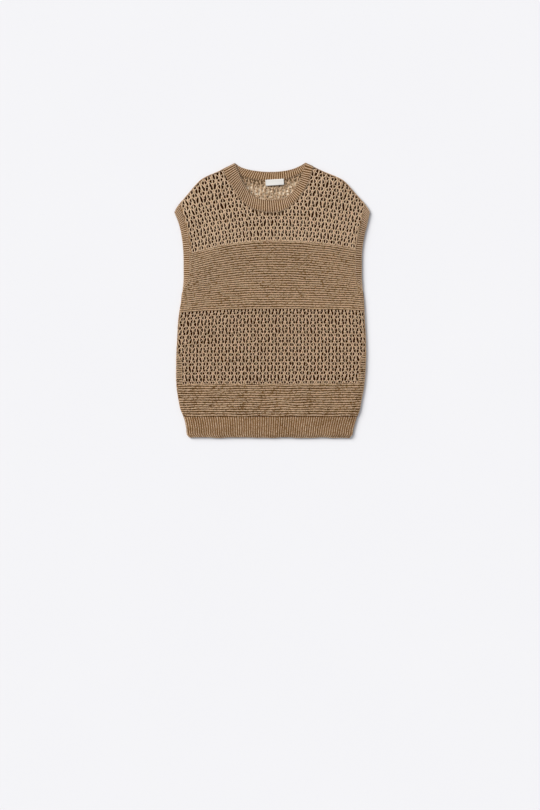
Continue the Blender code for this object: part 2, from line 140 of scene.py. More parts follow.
camera_data = bpy.data.cameras.new("camera")
camera_data.sensor_width = SENSOR
camera_data.lens = SENSOR * CAMERA_HEIGHT / (SEEN_HEIGHT * MM)
camera_data.clip_end = CAMERA_SIGHT
camera = add_object("camera", camera_data)
camera.location = (VIEW_CENTRE[0] * MM, VIEW_CENTRE[1] * MM, CAMERA_HEIGHT)
bpy.context.scene.camera = camera


# ---- Back panel, garter bands ----
# The back is knitted from the hem up in one piece: garter, pointelle lace, garter and a lace yoke
# that fans out to the shoulders. It lies with its outside down. Its garter bands are ridges of purl
# bumps over a plain ground.

LENGTH = 673.4
WALL = 2.6
BACK_TOP = WALL
EDGE_LIP = 0.7              # what is left of the wall at the garment's edge, where it turns over
UNDER_ROLL = 3.0            # how far inside the edge the back comes down on the table
HEM_SEAM = 52.7
SEAM_GAP = 0.3

# Sides of the laid garment, of its panels above the underarm, and of its shoulders.
Side = namedtuple("Side", "height left right")
OUTLINE = (
    Side(0, -202, 189), Side(5, -207.5, 194.5), Side(22, -210.5, 199), Side(49, -216.5, 207),
    Side(68, -224.5, 214.5), Side(93, -230, 219), Side(122, -234.5, 224.5),
    Side(186, -236, 230), Side(245, -233.5, 229.5), Side(294, -230.3, 227),
    Side(333, -224, 225), Side(372, -218, 220.5), Side(421, -217, 219.5),
    Side(460, -218, 220.5), Side(495, -222, 226), Side(524, -228.5, 233), Side(553, -239.6, 239.3),
)
PANEL_SIDE = (
    Side(333, -224, 225), Side(361, -219.3, 221.5), Side(371, -213, 216), Side(383, -206.3, 209),
    Side(400, -202.8, 205.2), Side(421, -202.2, 204.6), Side(460, -203.2, 205.5),
    Side(495, -207.3, 211), Side(524, -213.5, 218), Side(548, -220.5, 223),
    Side(573, -228, 227.5), Side(620, -240, 239), Side(674, -253, 252),
)
SHOULDER = (
    Side(553, -239.6, 239.3), Side(563, -235.5, 234.5), Side(573, -228, 227.5),
    Side(583, -219, 218), Side(603, -202, 200), Side(622, -185.5, 183.5), Side(632, -175, 172),
    Side(642, -157, 151), Side(651.5, -134, 127), Side(658.5, -121, 113), Side(665, -110, 100.5),
    Side(674, -91.5, 81),
)
# Stations along the neckband: its seam and its free edge, on the front and on the back.
Neck = namedtuple("Neck", "seam_x seam_height free_x free_height")
NECK_FRONT = (
    Neck(-121, 658.5, -91.5, 673), Neck(-107, 630, -82, 650), Neck(-88, 599, -71, 625.5),
    Neck(-58, 568, -50, 596.5), Neck(-25, 555.7, -24, 584.5), Neck(3, 553.7, 0, 583),
    Neck(32, 559.5, 26, 586.5), Neck(62, 585, 47, 600.5), Neck(84, 617, 64, 626),
    Neck(95.5, 647, 74.5, 651), Neck(100.5, 665, 81, 674),
)
NECK_BACK = (
    Neck(-121, 658.5, -91.5, 673), Neck(-95, 648.5, -77, 663.5), Neck(-68, 640, -56, 657),
    Neck(-38, 632.5, -30, 653), Neck(-5, 630, -2, 651.7), Neck(28, 632, 26, 653.7),
    Neck(54, 641, 50, 658.8), Neck(80, 653.5, 68, 666.5), Neck(100.5, 665, 81, 674),
)
ABOVE_NECK = ((140, 720), (-160, 720))      # corners that close a neck's hole above the garment

# The top course of each band: its height at the centre, and how far it drops at the sides.
Course = namedtuple("Course", "top drop_left drop_right")
LOWER_GARTER = Course(132.3, 0.7, -2.7)
LOWER_LACE = Course(316.0, 9.7, 3.9)
UPPER_GARTER = Course(482.7, 33.0, 20.0)
BODY_WALES = 80             # on each side of the centre
LOWER_RIDGES, UPPER_RIDGES = 14, 29
WANDER, LOWER_WANDER = 0.45, 0.75   # how far the courses stray up and down from their heights
WANDER_SIZE, WANDER_STRETCH = 42, 2.2

YARN = 0.74                 # half the thickness of the yarn
RIDGE_YARN = 0.84
RIDGE_TONE, RIDGE_SPREAD = 0.45, 0.20
SUNK_SHADE = -0.26           # painted shade on the knit stitches between two ridges
GROOVE_SHADE = -0.40         # painted shade at the bottom of the grooves between ridges
RAGGED = 0.17               # how uneven the ridges are along their length, in long and short waves:
RAGGED_WAVES = ((0.6, 22), (1.2, 6))    # their shares and sizes
RAGGED_STRETCH = 4          # the waves are this much longer along a ridge than across it
BUMP_STRAY = (0.03, 0.10, 0.12)     # how far a bump strays, in wales, courses and height
TABLE_CLEARANCE = 0.12
PANEL_MARGIN, SEAM_MARGIN = 0.9, 0.6    # how far stitches stay inside the outline and the seams

# Centre lines of stitches, in wales, courses and height: a purl bump, the one between two of them,
# and the legs of the knit stitch that is sunk between this ridge and the next.
FROWN = ((-0.54, -0.42, -0.75), (-0.26, 0.27, 0.0), (0.26, 0.27, 0.0), (0.54, -0.42, -0.75))
SMILE = ((-0.02, 0.40, -0.75), (0.26, -0.30, -0.1), (0.74, -0.30, -0.1), (1.02, 0.40, -0.75))
SUNK_LEGS = (((0.08, 0.40, -1.35), (0.26, 1.0, -0.95), (0.36, 1.60, -1.35)),
             ((-0.08, 0.40, -1.35), (-0.26, 1.0, -0.95), (-0.36, 1.60, -1.35)))

BACK_GROUND, GROUND_WALL = 2.0, 0.6     # the plain ground's height above the table and thickness
GROUND_SPAN = 0.9985        # it ends just inside the sides,
SIDE_CROWD = 0.25           # and its columns crowd towards them

# Colours of the yarn, from the painted shade of the grooves up, and the scales and shares of its
# unevenness.
PAINTED_SHADE_BROWN, DEEP_BROWN = (0.062, 0.025, 0.007), (0.230, 0.115, 0.039)
FLECK_SCALE, PATCH_SCALE, FUZZ_SCALE = 620.0, 16.0, 2400.0
PATCH_SHARE = 0.22
TONE_LOW, TONE_HIGH = 0.21, 1.01
DEEP_AT, MIDDLE_AT, PALE_AT = 0.24, 0.52, 0.92
SHEEN_TINT = (1.0, 0.93, 0.84, 1)


def smooth(places, values):
    """A smooth curve through a table's rows, read at any places."""
    places = np.asarray(places, float)
    values = np.asarray(values, float)
    slopes = np.gradient(values, places)

    def read(place):
        place = np.clip(place, places[0], places[-1])
        row = np.clip(np.searchsorted(places, place) - 1, 0, len(places) - 2)
        step = places[row + 1] - places[row]
        t = (place - places[row]) / step
        rise = t * t * (3 - 2 * t)
        return (values[row] * (1 - rise) + values[row + 1] * rise
                + slopes[row] * t * (1 - t) ** 2 * step
                + slopes[row + 1] * t * t * (t - 1) * step)
    return read


def side_curves(table):
    """The left and right sides of a table, read by height."""
    heights, left, right = zip(*table)
    return smooth(heights, left), smooth(heights, right)


outline_left, outline_right = side_curves(OUTLINE)
panel_left, panel_right = side_curves(PANEL_SIDE)
shoulder_left, shoulder_right = side_curves(SHOULDER)


def panel_sides(height):
    """Both sides of the panels, which follow the outline below the underarm."""
    below = height <= PANEL_SIDE[0].height
    return (np.where(below, outline_left(height), panel_left(height)),
            np.where(below, outline_right(height), panel_right(height)))


def neck_curve(table, edge):
    """The neckband's seam or free edge, as points along its table."""
    stations = range(len(table))
    xs = smooth(stations, [getattr(row, edge + "_x") for row in table])
    heights = smooth(stations, [getattr(row, edge + "_height") for row in table])
    return lambda station: np.stack([xs(station), heights(station)], axis=-1)


def distance_inside(polygon, cell=2.0, margin=16.0):
    """How far inside a closed outline a point lies, negative outside, read from a fine grid."""
    low = polygon.min(axis=0) - margin
    count = np.ceil((polygon.max(axis=0) + margin - low) / cell).astype(int) + 1
    grid_x = (low[0] + cell * np.arange(count[0]))[:, None]
    grid_y = (low[1] + cell * np.arange(count[1]))[None, :]
    nearest = np.full((count[0], count[1]), 1e9)
    crossings = np.zeros((count[0], count[1]), int)
    for (x1, y1), (x2, y2) in zip(polygon, np.roll(polygon, -1, axis=0)):
        run, climb = x2 - x1, y2 - y1
        square = max(run * run + climb * climb, 1e-9)
        along = np.clip(((grid_x - x1) * run + (grid_y - y1) * climb) / square, 0, 1)
        gap = (grid_x - x1 - run * along) ** 2 + (grid_y - y1 - climb * along) ** 2
        nearest = np.minimum(nearest, gap)
        if climb:
            spans = (y1 > grid_y) != (y2 > grid_y)
            crossings += spans & (grid_x < x1 + run * (grid_y - y1) / climb)
    signed = np.sqrt(nearest) * np.where(crossings % 2, 1, -1)

    def read(x, y):
        column = np.clip((x - low[0]) / cell, 0, count[0] - 1.001)
        row = np.clip((y - low[1]) / cell, 0, count[1] - 1.001)
        i, j = column.astype(int), row.astype(int)
        s, t = column - i, row - j
        return (signed[i, j] * (1 - s) * (1 - t) + signed[i + 1, j] * s * (1 - t)
                + signed[i, j + 1] * (1 - s) * t + signed[i + 1, j + 1] * s * t)
    return read


def garment_outline(step=4.0):
    """The laid garment's outline: up its left side, along the back of the neck and down."""
    body = np.arange(0, OUTLINE[-1].height, step)
    shoulder = np.arange(SHOULDER[0].height, SHOULDER[-1].height, step)
    left = [(outline_left(h), h) for h in body] + [(shoulder_left(h), h) for h in shoulder]
    right = [(outline_right(h), h) for h in body] + [(shoulder_right(h), h) for h in shoulder]
    top = neck_curve(NECK_BACK, "free")(np.linspace(0, len(NECK_BACK) - 1, 33))
    return np.array([*left, *top, *right[::-1]])


def neck_hole(table):
    """The outline that the neckband's seam cuts out of a panel."""
    seam = neck_curve(table, "seam")(np.linspace(0, len(table) - 1, 61))
    return np.array([*seam, *ABOVE_NECK])


inside_outline = distance_inside(garment_outline())
inside_front_neck = distance_inside(neck_hole(NECK_FRONT))
inside_back_neck = distance_inside(neck_hole(NECK_BACK))


def within_panel(x, height, margin=PANEL_MARGIN):
    """Where a panel's stitches lie: inside the outline and between its side seams."""
    left, right = panel_sides(height)
    return ((inside_outline(x, height) > margin) & (x > left + SEAM_MARGIN)
            & (x < right - SEAM_MARGIN))


def rounded(distance, reach):
    """0 at an edge and 1 past its reach, along a quarter circle."""
    return np.sqrt(1 - (1 - np.clip(distance / reach, 0, 1)) ** 2)


def back_outside(x, height):
    """Where the yarn of the back's outside lies: clear of the table, rounded up at the outline."""
    under = (BACK_TOP - EDGE_LIP) * (1 - rounded(inside_outline(x, height), UNDER_ROLL))
    return under + YARN + TABLE_CLEARANCE


def flat_at(level):
    """A flat surface at a level above the table."""
    return lambda x, height: level + 0 * x


def wale_x(u, height):
    """Where the wale u, from -1 at the left side to 1 at the right one, runs at a height."""
    left, right = panel_sides(height)
    return (left + right) / 2 + u * (right - left) / 2


def course_height(course, u):
    """Height of a band's top course along its wales."""
    return course.top - np.where(u < 0, course.drop_left, course.drop_right) * u * u


def hem_line(u):
    """Height of the first course, just above the hem seam."""
    return HEM_SEAM + SEAM_GAP + 0 * u


def uneven(x, height, size, seed, waves=5):
    """A smooth uneven field between about -1 and 1, of bumps about this size."""
    draw = np.random.default_rng(seed)
    total = 0
    for turn, phase, pitch in zip(draw.uniform(0, math.pi, waves), draw.uniform(0, 6.28, waves),
                                  draw.uniform(0.7, 1.5, waves)):
        total = total + np.sin((x * math.cos(turn) + height * math.sin(turn)) * pitch
                               * 2 * math.pi / (2 * size) + phase)
    return total / math.sqrt(waves)


def between(low, high, courses, seed, wander=WANDER):
    """Place for a band of courses between two heights, a little uneven in tension."""
    def place(wale, course):
        u = wale / BODY_WALES
        base, top = low(u), high(u)
        height = base + (top - base) * course / courses
        x = wale_x(u, height)
        return x, height + wander * uneven(x, height * WANDER_STRETCH, WANDER_SIZE, seed)
    return place


lower_garter_top = partial(course_height, LOWER_GARTER)
lower_lace_top = partial(course_height, LOWER_LACE)
upper_garter_top = partial(course_height, UPPER_GARTER)
# The garter bands of both panels: name, lines that each runs between, ridges, and place of a stitch.
GarterBand = namedtuple("GarterBand", "name low high ridges place")
GARTER_BANDS = (
    GarterBand("lower", hem_line, lower_garter_top, LOWER_RIDGES,
               between(hem_line, lower_garter_top, 2 * LOWER_RIDGES, 3, LOWER_WANDER)),
    GarterBand("upper", lower_lace_top, upper_garter_top, UPPER_RIDGES,
               between(lower_lace_top, upper_garter_top, 2 * UPPER_RIDGES, 5)),
)


def strands(centre, half_width, tone=None, flat=1.0, sides=3):
    """Closed pieces of yarn with pointed ends round rows of centre points, with a tone for each."""
    rings = centre.shape[1] - 2
    along = centre[:, 2:] - centre[:, :-2]
    aside = np.stack([along[..., 1], -along[..., 0], np.zeros(along.shape[:2])], axis=-1)
    aside /= np.linalg.norm(aside, axis=-1, keepdims=True) + 1e-9
    above = np.cross(aside, along)
    above /= np.linalg.norm(above, axis=-1, keepdims=True) + 1e-9
    turn = 2 * math.pi * (np.arange(sides) + 0.5) / sides
    ring = (centre[:, 1:-1, None] + half_width * (np.cos(turn)[:, None] * aside[:, :, None]
                                                  + flat * np.sin(turn)[:, None] * above[:, :, None]))
    points = np.concatenate([centre[:, :1], ring.reshape(len(centre), -1, 3), centre[:, -1:]], axis=1)
    end = 1 + rings * sides
    faces = []
    for k in range(sides):
        following = (k + 1) % sides
        faces.append((0, 1 + k, 1 + following))
        faces.append((end, end - sides + following, end - sides + k))
        for ring_start in range(1, end - sides, sides):
            a, b = ring_start + k, ring_start + following
            faces.append((a, a + sides, b + sides))
            faces.append((a, b + sides, b))
    offsets = np.arange(len(centre))[:, None, None] * points.shape[1]
    faces = (np.array(faces)[None] + offsets).reshape(-1, 3)
    tone = np.zeros(len(centre)) if tone is None else tone
    return points.reshape(-1, 3), faces, np.repeat(tone, points.shape[1])


def cloth(x, height, z, tone=0.0):
    """A grid of cloth from its points, row by row."""
    rows, columns = x.shape
    first = (np.arange(rows - 1)[:, None] * columns + np.arange(columns - 1)).ravel()
    faces = np.concatenate([np.stack([first, first + 1, first + columns + 1], axis=1),
                            np.stack([first, first + columns + 1, first + columns], axis=1)])
    points = np.stack([x, height, z], axis=-1).reshape(-1, 3)
    return points, faces, np.broadcast_to(tone, x.shape).ravel()


def knit_piece(name, parts, finish, node, slot):
    """One piece of knitting from the points, faces and tones of its parts, in place of a solid."""
    starts = np.cumsum([0] + [len(points) for points, _, _ in parts])
    points = np.concatenate([part[0] for part in parts]) * MM
    points[:, 1] -= LENGTH / 2 * MM
    points[:, 2] = np.maximum(points[:, 2], 0)
    faces = np.concatenate([part[1] + start for part, start in zip(parts, starts)])
    mesh = bpy.data.meshes.new(name)
    mesh.from_pydata(points.tolist(), [], faces.tolist())
    mesh.shade_smooth()
    tone = mesh.attributes.new("tone", "FLOAT", "POINT")
    tone.data.foreach_set("value", np.concatenate([part[2] for part in parts]).astype(np.float32))
    mesh.materials.append(finish)
    piece = add_object(name, mesh)
    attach(piece, "root")
    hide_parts(node)
    return piece


back_piece = partial(knit_piece, node="back_panel", slot="body_knit")


def thicken(piece, thickness):
    """Give an open cloth its thickness, away from its upper face."""
    shell = piece.modifiers.new("thickness", "SOLIDIFY")
    shell.thickness = thickness * MM
    shell.offset = -1.0


def knit_band(name, ground, stitches, finish, node, slot, rests_on, flat, area=None):
    """A band of knitting: its plain ground and the stitches over it."""
    ground = knit_piece(f"{name}_cloth", ground, finish, node, slot)
    thicken(ground, GROUND_WALL)
    stitches = knit_piece(f"{name}_stitches", stitches, finish, node, slot)


def yarn_finish(name, middle, pale, groove=PAINTED_SHADE_BROWN, deep=DEEP_BROWN, sheen=0.08, shine=0.1):
    """Soft matt cotton and linen yarn: flecked, a little uneven from stitch to stitch, and fuzzy."""
    # The tone attribute carries painted shade down to the groove colour and painted highlight up to the
    # pale one, besides the yarn's random tone.
    material, tree, shader, place = new_material(name)
    tone = add_node(tree, "Attribute", {}, attribute_name="tone").outputs["Fac"]
    fleck = noise(tree, place, FLECK_SCALE, 3.0, 0.65)
    patch = noise(tree, place, PATCH_SCALE, 2.0)
    mixed = add_node(tree, "Math", {0: patch, 1: PATCH_SHARE, 2: fleck}, operation="MULTIPLY_ADD")
    level = add_node(tree, "Math", {0: mixed.outputs["Value"], 1: tone}, operation="ADD")
    share = add_node(tree, "MapRange", {"Value": level.outputs["Value"], "From Min": TONE_LOW,
                                        "From Max": TONE_HIGH})
    ramp = add_node(tree, "ValToRGB", {"Fac": share.outputs["Result"]})
    stops = ramp.color_ramp.elements
    stops[0].position, stops[0].color = 0.0, (*groove, 1)
    stops[1].position, stops[1].color = PALE_AT, (*pale, 1)
    for position, color in ((DEEP_AT, deep), (MIDDLE_AT, middle)):
        stops.new(position).color = (*color, 1)
    fuzz = noise(tree, place, FUZZ_SCALE, 2.0)
    rough = add_node(tree, "MapRange", {"Value": fuzz, "To Min": 0.8, "To Max": 0.98})
    bump = add_node(tree, "Bump", {"Height": fuzz, "Strength": 0.35, "Distance": 0.0004})
    feed(tree, shader, {
        "Base Color": ramp.outputs["Color"], "Roughness": rough.outputs["Result"],
        "Normal": bump.outputs["Normal"], "Sheen Weight": sheen, "Sheen Roughness": 0.55,
        "Sheen Tint": SHEEN_TINT, "Specular IOR Level": shine})
    return material


body_finish = yarn_finish("camel_yarn", (0.378, 0.213, 0.094), (0.785, 0.565, 0.368))


def garter(place, surface, inside, ridges, seed, front, shade=0.0):
    """Garter ridges of purl bumps with, on the front, the knit stitches that are sunk between them."""
    draw = np.random.default_rng(seed)
    columns = np.arange(-BODY_WALES, BODY_WALES) + 0.5
    wale, ridge = (grid.ravel() for grid in np.meshgrid(columns, np.arange(ridges)))
    parts = []
    for arc in (FROWN, SMILE, *SUNK_LEGS) if front else (FROWN, SMILE):
        arc = np.array(arc)
        sunk = len(arc) == 3
        if not front:
            arc = np.stack([arc[0], arc[1:3].mean(axis=0), arc[3]])
        stray = [draw.normal(0, spread, (len(wale), 1)) for spread in BUMP_STRAY]
        rise = arc[:, 2] + stray[2]
        x, height = place(wale[:, None] + arc[:, 0] + stray[0],
                          2 * ridge[:, None] + 1 + arc[:, 1] + stray[1])
        kept = inside(x.mean(axis=1), height.mean(axis=1))
        x, height, rise = x[kept], height[kept], rise[kept]
        middle_x, middle_height = x.mean(axis=1), RAGGED_STRETCH * height.mean(axis=1)
        loose = sum(share * uneven(middle_x, middle_height, size, seed + 60 + wave)
                    for wave, (share, size) in enumerate(RAGGED_WAVES))
        loose = loose * RAGGED * (0.5 if sunk else 1)
        centre = np.stack([x, height, surface(x, height) + rise + loose[:, None]], axis=-1)
        # Sunk stitches and a band's shade are painted shade; loose and the spread vary the tone at
        # random.
        tone = (SUNK_SHADE if sunk else RIDGE_TONE) + shade + loose
        tone = tone + draw.normal(0, RIDGE_SPREAD, len(centre))
        parts.append(strands(centre, YARN if sunk else RIDGE_YARN, tone))
    return parts


def ridged_cloth(band, surface, columns, steps, relief):
    """The plain cloth under a band of garter ridges, raised under each one, with painted shade in its
    grooves.
    """
    u = (SIDE_CROWD * np.sin(np.linspace(-math.pi / 2, math.pi / 2, columns))
         + (1 - SIDE_CROWD) * np.linspace(-1, 1, columns))
    levels = np.arange(steps * band.ridges + 1) * 2 / steps
    wale, course = np.meshgrid(u * BODY_WALES * GROUND_SPAN, levels)
    x, height = band.place(wale, course)
    wave = -np.cos(course * math.pi)
    return [cloth(x, height, surface(x, height) + relief * wave, GROOVE_SHADE * (1 - wave) / 2)]


def sheet_area(low, high):
    """Flat size of a band between two heights, as width, length and area in metres."""
    u = np.linspace(-0.995, 0.995, 101)
    bottom, top = low(u), high(u)
    wide = np.diff(wale_x(u, (bottom + top) / 2))
    area = float((wide * ((top - bottom)[1:] + (top - bottom)[:-1]) / 2).sum())
    size = (float(wide.sum()) * MM, float((top - bottom).max()) * MM)
    return size, area * MM * MM


for band, seed in zip(GARTER_BANDS, (11, 12)):
    knit_band(f"back_{band.name}_garter",
              ridged_cloth(band, flat_at(BACK_GROUND), columns=41, steps=2, relief=0.25),
              garter(band.place, back_outside, within_panel, band.ridges, seed, False),
              body_finish, "back_panel", "body_knit", "table", *sheet_area(band.low, band.high))


# ---- Back panel, lace ----
# Pointelle lace, knitted on a small chart of eyelets and decreases, which bow the stitches beside
# them. The inside of its yoke shows in the neck opening over a cream patch of painted light, and a
# near-black sheet of painted shade lies between the two panels where the shade falls.

# A stretch of lace: wales on each side of the centre, courses, the wale and course of its first
# motif's eyelets, and how many wales have no holes at each side of its lowest courses.
Stretch = namedtuple("Stretch", "wales courses first_wale first_course selvedge")
BODY_LACE = Stretch(BODY_WALES, 63, 2.35, 9, 5.0)
YOKE_LACE = Stretch(73, 64, 3.75, 2, 1.0)
YOKE_COURSE = 3.15          # height of a course in the yoke
PLAIN_COURSES = 0.1         # a plain strip below the first holes
PLAIN_EDGE = 0.6            # the least of a plain selvedge, in wales
EDGE_COURSES, EDGE_TAPER = 28, 8    # its height in courses, and over how many it narrows

# Holes of one motif, in wales from its middle and courses below its eyelets. Each is mirrored, and
# the motif is set again half a repeat over and up.
REPEAT_WALES, REPEAT_COURSES = 6, 16
ROW_RANGE = 4               # courses above a motif's eyelets that still belong to it
Hole = namedtuple("Hole", "x1 y1 x2 y2 radius")
MOTIF = (
    Hole(0.85, 0.0, 0.85, 0.0, 0.95), Hole(2.12, 2.3, 1.68, 3.0, 0.78),
    Hole(1.24, 5.0, 1.06, 5.5, 0.76),
)
DRIFT = (0.14, 0.30)        # how far a hole strays from its place, in wales and courses,
DRIFT_SIZE = (4.2, 3.4)     # and over how many wales that changes
HOLE_REACH = 0.65           # how far past its rim a hole crowds the stitches
HOLE_EASE = 0.25            # how far above and below it they close again
HOLE_UNEVEN, HOLE_UNEVEN_SIZE = 0.14, 2.4
YARN_RIM = 0.25             # half the yarn, in wales
LOOP_CLEARANCE = 0.1        # between a loop and a hole's rim

# One knitted stitch: the centre line of its right leg and of the loop behind it, in wales, courses
# and height. On the back's outside, a chevron stands for both legs.
LEG = ((0.05, -0.30, -0.38), (0.28, 0.42, 0.0), (0.34, 1.12, -0.38))
CHEVRON = ((-0.36, 1.10, -0.38), (0.0, -0.05, 0.0), (0.36, 1.10, -0.38))
LOOP = ((-0.80, 0.50, -1.15), (0.0, 0.66, -0.95), (0.80, 0.50, -1.15))
LEG_STRAY = (0.035, 0.05, 0.08)     # how far a leg strays, in wales, courses and height
LACE_YARN, LACE_FLAT = 0.84, 0.8    # it lies loose in the lace, pressed a little flat
CHEVRON_YARN = 1.15
LOOP_WIDTH, LOOP_FLAT = 1.25, 0.5
LACE_TONE, LACE_SPREAD = 0.02, 0.20
INSIDE_TONE, INSIDE_SPREAD = -0.06, 0.26
LOOP_SPREAD = 0.05
# Stitches that a hole draws aside by more than a share of a wale are painted paler: a painted highlight.
RIM_HIGHLIGHT, RIM_START, RIM_RATE = 0.80, 0.2, 2.5

YOKE_MARGIN = 1.0
COVERED = 12                # how far below the neck's seam the front covers the back's inside
MIDDLE, MIDDLE_WALL = 1.75, 0.5     # height and thickness of the near-black sheet of painted shade between the panels,
MIDDLE_SPAN, MIDDLE_ENDS = 0.993, 1.5       # which ends short of the sides, past the courses' ends,
MIDDLE_MARGIN, MIDDLE_UP, MIDDLE_DOWN = 1.6, 9, 4   # inside the outline, up the neck and down
MIDDLE_YOKE = 1.012         # and past the yoke's sides
PAINTED_LIGHT, PAINTED_LIGHT_WALL, PAINTED_LIGHT_CELL = 0.45, 0.4, 3.5    # a cream patch of painted light below the yoke, for the table lit through its loops
PAINTED_LIGHT_TONE, PAINTED_LIGHT_UNEVEN, PAINTED_LIGHT_SIZE = -0.05, 0.34, 5
BAND_SHADOW, BAND_START, BAND_SHADE = 0.7, 3, 16.0    # and the painted shadow of the neckband across it
LOOPS_FROM = 4              # loops show this far inside the neck opening
YOKE_REACH = ((-245.0, 245), (440.0, 680))      # the yoke lies well within these sides and heights

# A near-black copy of the yarn, painted shade, for the sheet that stands for the shade between the
# panels.
painted_shade_finish = yarn_finish("camel_yarn_painted_shade", (0.046, 0.013, 0.002), (0.070, 0.022, 0.004),
                           (0.018, 0.004, 0.001), (0.030, 0.008, 0.001), 0.0, 0.0)
# A cream copy of the yarn, painted light, for the table lit through the loose loops in the neck opening.
painted_light_finish = yarn_finish("camel_yarn_painted_light", (0.76, 0.63, 0.47), (0.94, 0.85, 0.70),
                         (0.15, 0.09, 0.045), (0.46, 0.34, 0.22))


def holes_near(wale, course, stretch):
    """Each hole of the chart as seen from strands: how far beside its line and past its ends they lie."""
    column, row = wale.mean(axis=1, keepdims=True), course.mean(axis=1, keepdims=True)
    astray_x = DRIFT[0] * uneven(column, row / 2, DRIFT_SIZE[0], 73)
    astray_y = DRIFT[1] * uneven(column, row / 2, DRIFT_SIZE[1], 74)
    for half in (0, 1):
        dx = (column + astray_x - stretch.first_wale - half * REPEAT_WALES / 2 + REPEAT_WALES / 2)
        dx = dx % REPEAT_WALES - REPEAT_WALES / 2 + wale - column
        dy = stretch.first_course + half * REPEAT_COURSES / 2 - row - astray_y + ROW_RANGE
        dy = dy % REPEAT_COURSES - ROW_RANGE + row - course
        for hole in MOTIF:
            middle = np.clip((dy - hole.y1) / max(hole.y2 - hole.y1, 1e-6), 0, 1)
            past = np.maximum(np.maximum(hole.y1 - dy, dy - hole.y2), 0)
            for side in (-1, 1):
                yield hole, dx - side * (hole.x1 + (hole.x2 - hole.x1) * middle), past


def plain_wales(course, selvedge):
    """How many wales at each side have no holes."""
    return np.clip(selvedge * (EDGE_COURSES - course) / EDGE_TAPER, PLAIN_EDGE, selvedge)


def pull_open(wale, course, stretch):
    """Bow the strands of the knitting sideways round the holes of the pointelle chart."""
    plain = plain_wales(course, stretch.selvedge)
    strength = (np.clip(stretch.wales - abs(wale) - plain, 0, 1)
                * np.clip(course - PLAIN_COURSES, 0, 1))
    strength = strength * (1 + HOLE_UNEVEN * uneven(wale, course / 2, HOLE_UNEVEN_SIZE, 71))
    shift = np.zeros_like(wale)
    for hole, beside, past in holes_near(wale, course, stretch):
        side = np.where(beside.mean(axis=1, keepdims=True) < 0, -1, 1)
        rim = hole.radius + YARN_RIM
        half_width = strength * rim * np.sqrt(np.clip(1 - (past / (rim + HOLE_EASE)) ** 2, 0, 1))
        apart = np.maximum(beside * side, 0)
        push = half_width * np.clip(1 - apart / (rim + HOLE_REACH), 0, None)
        shift += side * (push + np.where(beside * side < 0, abs(beside) * (half_width > 0), 0))
    return wale + shift


def crosses_hole(wale, course, stretch):
    """Whether a strand would lie across a hole."""
    crossed = np.zeros(len(wale), bool)
    for hole, beside, past in holes_near(wale, course, stretch):
        crossed |= (np.hypot(beside, past) < hole.radius + LOOP_CLEARANCE).any(axis=1)
    return crossed


def legs(wale, course, draw, leg=LEG):
    """Both legs of each stitch, as wales, courses and heights of their points."""
    leg = np.array(leg)
    both = leg[None] if leg[0, 0] < 0 else np.stack([leg, leg * (-1, 1, 1)])
    size = (len(wale), len(both), len(leg))
    wale = wale[:, None, None] + both[None, ..., 0] + draw.normal(0, LEG_STRAY[0], size)
    course = course[:, None, None] + both[None, ..., 1] + draw.normal(0, LEG_STRAY[1], size)
    rise = both[None, ..., 2] + draw.normal(0, LEG_STRAY[2], (*size[:2], 1))
    return tuple(values.reshape(-1, len(leg)) for values in (wale, course, rise))


def lace(stretch, place, surface, inside, seed, leg=LEG, tones=(LACE_TONE, LACE_SPREAD), loops=None):
    """A stretch of pointelle lace, with the loops behind its stitches where they show."""
    draw = np.random.default_rng(seed)
    columns = np.arange(-stretch.wales - 1, stretch.wales + 1) + stretch.first_wale % 1
    wale, course = (grid.ravel() for grid in np.meshgrid(columns, np.arange(0.0, stretch.courses)))

    def laid(wale, course, rise, tone):
        x, height = place(wale, course)
        kept = inside(x, height).all(axis=1) & (abs(wale) < stretch.wales).all(axis=1)
        x, height, rise = x[kept], height[kept], rise[kept]
        return np.stack([x, height, surface(x, height) + rise], axis=-1), tone[kept, 0]

    leg_wale, leg_course, rise = legs(wale, course, draw, leg)
    opened = pull_open(leg_wale, leg_course, stretch)
    # Stitches drawn far aside by a hole are painted paler, rim being the share of that painted highlight.
    drawn = abs(opened - leg_wale).max(axis=1, keepdims=True)
    rim = np.clip(RIM_RATE * (drawn - RIM_START), 0, 1)
    centre, tone = laid(opened, leg_course, rise, tones[0] + RIM_HIGHLIGHT * rim)
    tone = tone + draw.normal(0, tones[1], len(centre))
    parts = [strands(centre, CHEVRON_YARN if leg is CHEVRON else LACE_YARN, tone, LACE_FLAT)]
    if loops:
        loop = np.array(LOOP)
        wale, course = wale[:, None] + loop[:, 0], course[:, None] + loop[:, 1]
        closed = ~crosses_hole(wale, course, stretch)
        wale, course = wale[closed], course[closed]
        rise = np.broadcast_to(loop[:, 2], wale.shape)
        centre, tone = laid(wale, course, rise, draw.normal(0.0, LOOP_SPREAD, wale.shape))
        kept = loops(centre[:, 1, 0], centre[:, 1, 1])
        parts.append(strands(centre[kept], LOOP_WIDTH, tone[kept], LOOP_FLAT))
    return parts


lower_lace_place = between(lower_garter_top, lower_lace_top, BODY_LACE.courses, 4)


def yoke_place(wale, course):
    """Place in the yoke, whose courses keep the arch of its first row."""
    u = wale / YOKE_LACE.wales
    height = upper_garter_top(u) + YOKE_COURSE * course
    return wale_x(u, height), height


def within_outline(x, height):
    return inside_outline(x, height) > PANEL_MARGIN


def within_yoke(x, height, neck=inside_front_neck):
    return within_panel(x, height, YOKE_MARGIN) & (neck(x, height) < -SEAM_MARGIN)


def within_shown_yoke(x, height):
    """The part of the back yoke that shows in the neck opening, and some way under the front."""
    return within_yoke(x, height, inside_back_neck) & (inside_front_neck(x, height) > -COVERED)


def within_covered_yoke(x, height):
    return within_yoke(x, height, inside_back_neck) & (inside_front_neck(x, height) <= -COVERED)


def in_neck_opening(x, height):
    return inside_front_neck(x, height) > LOOPS_FROM


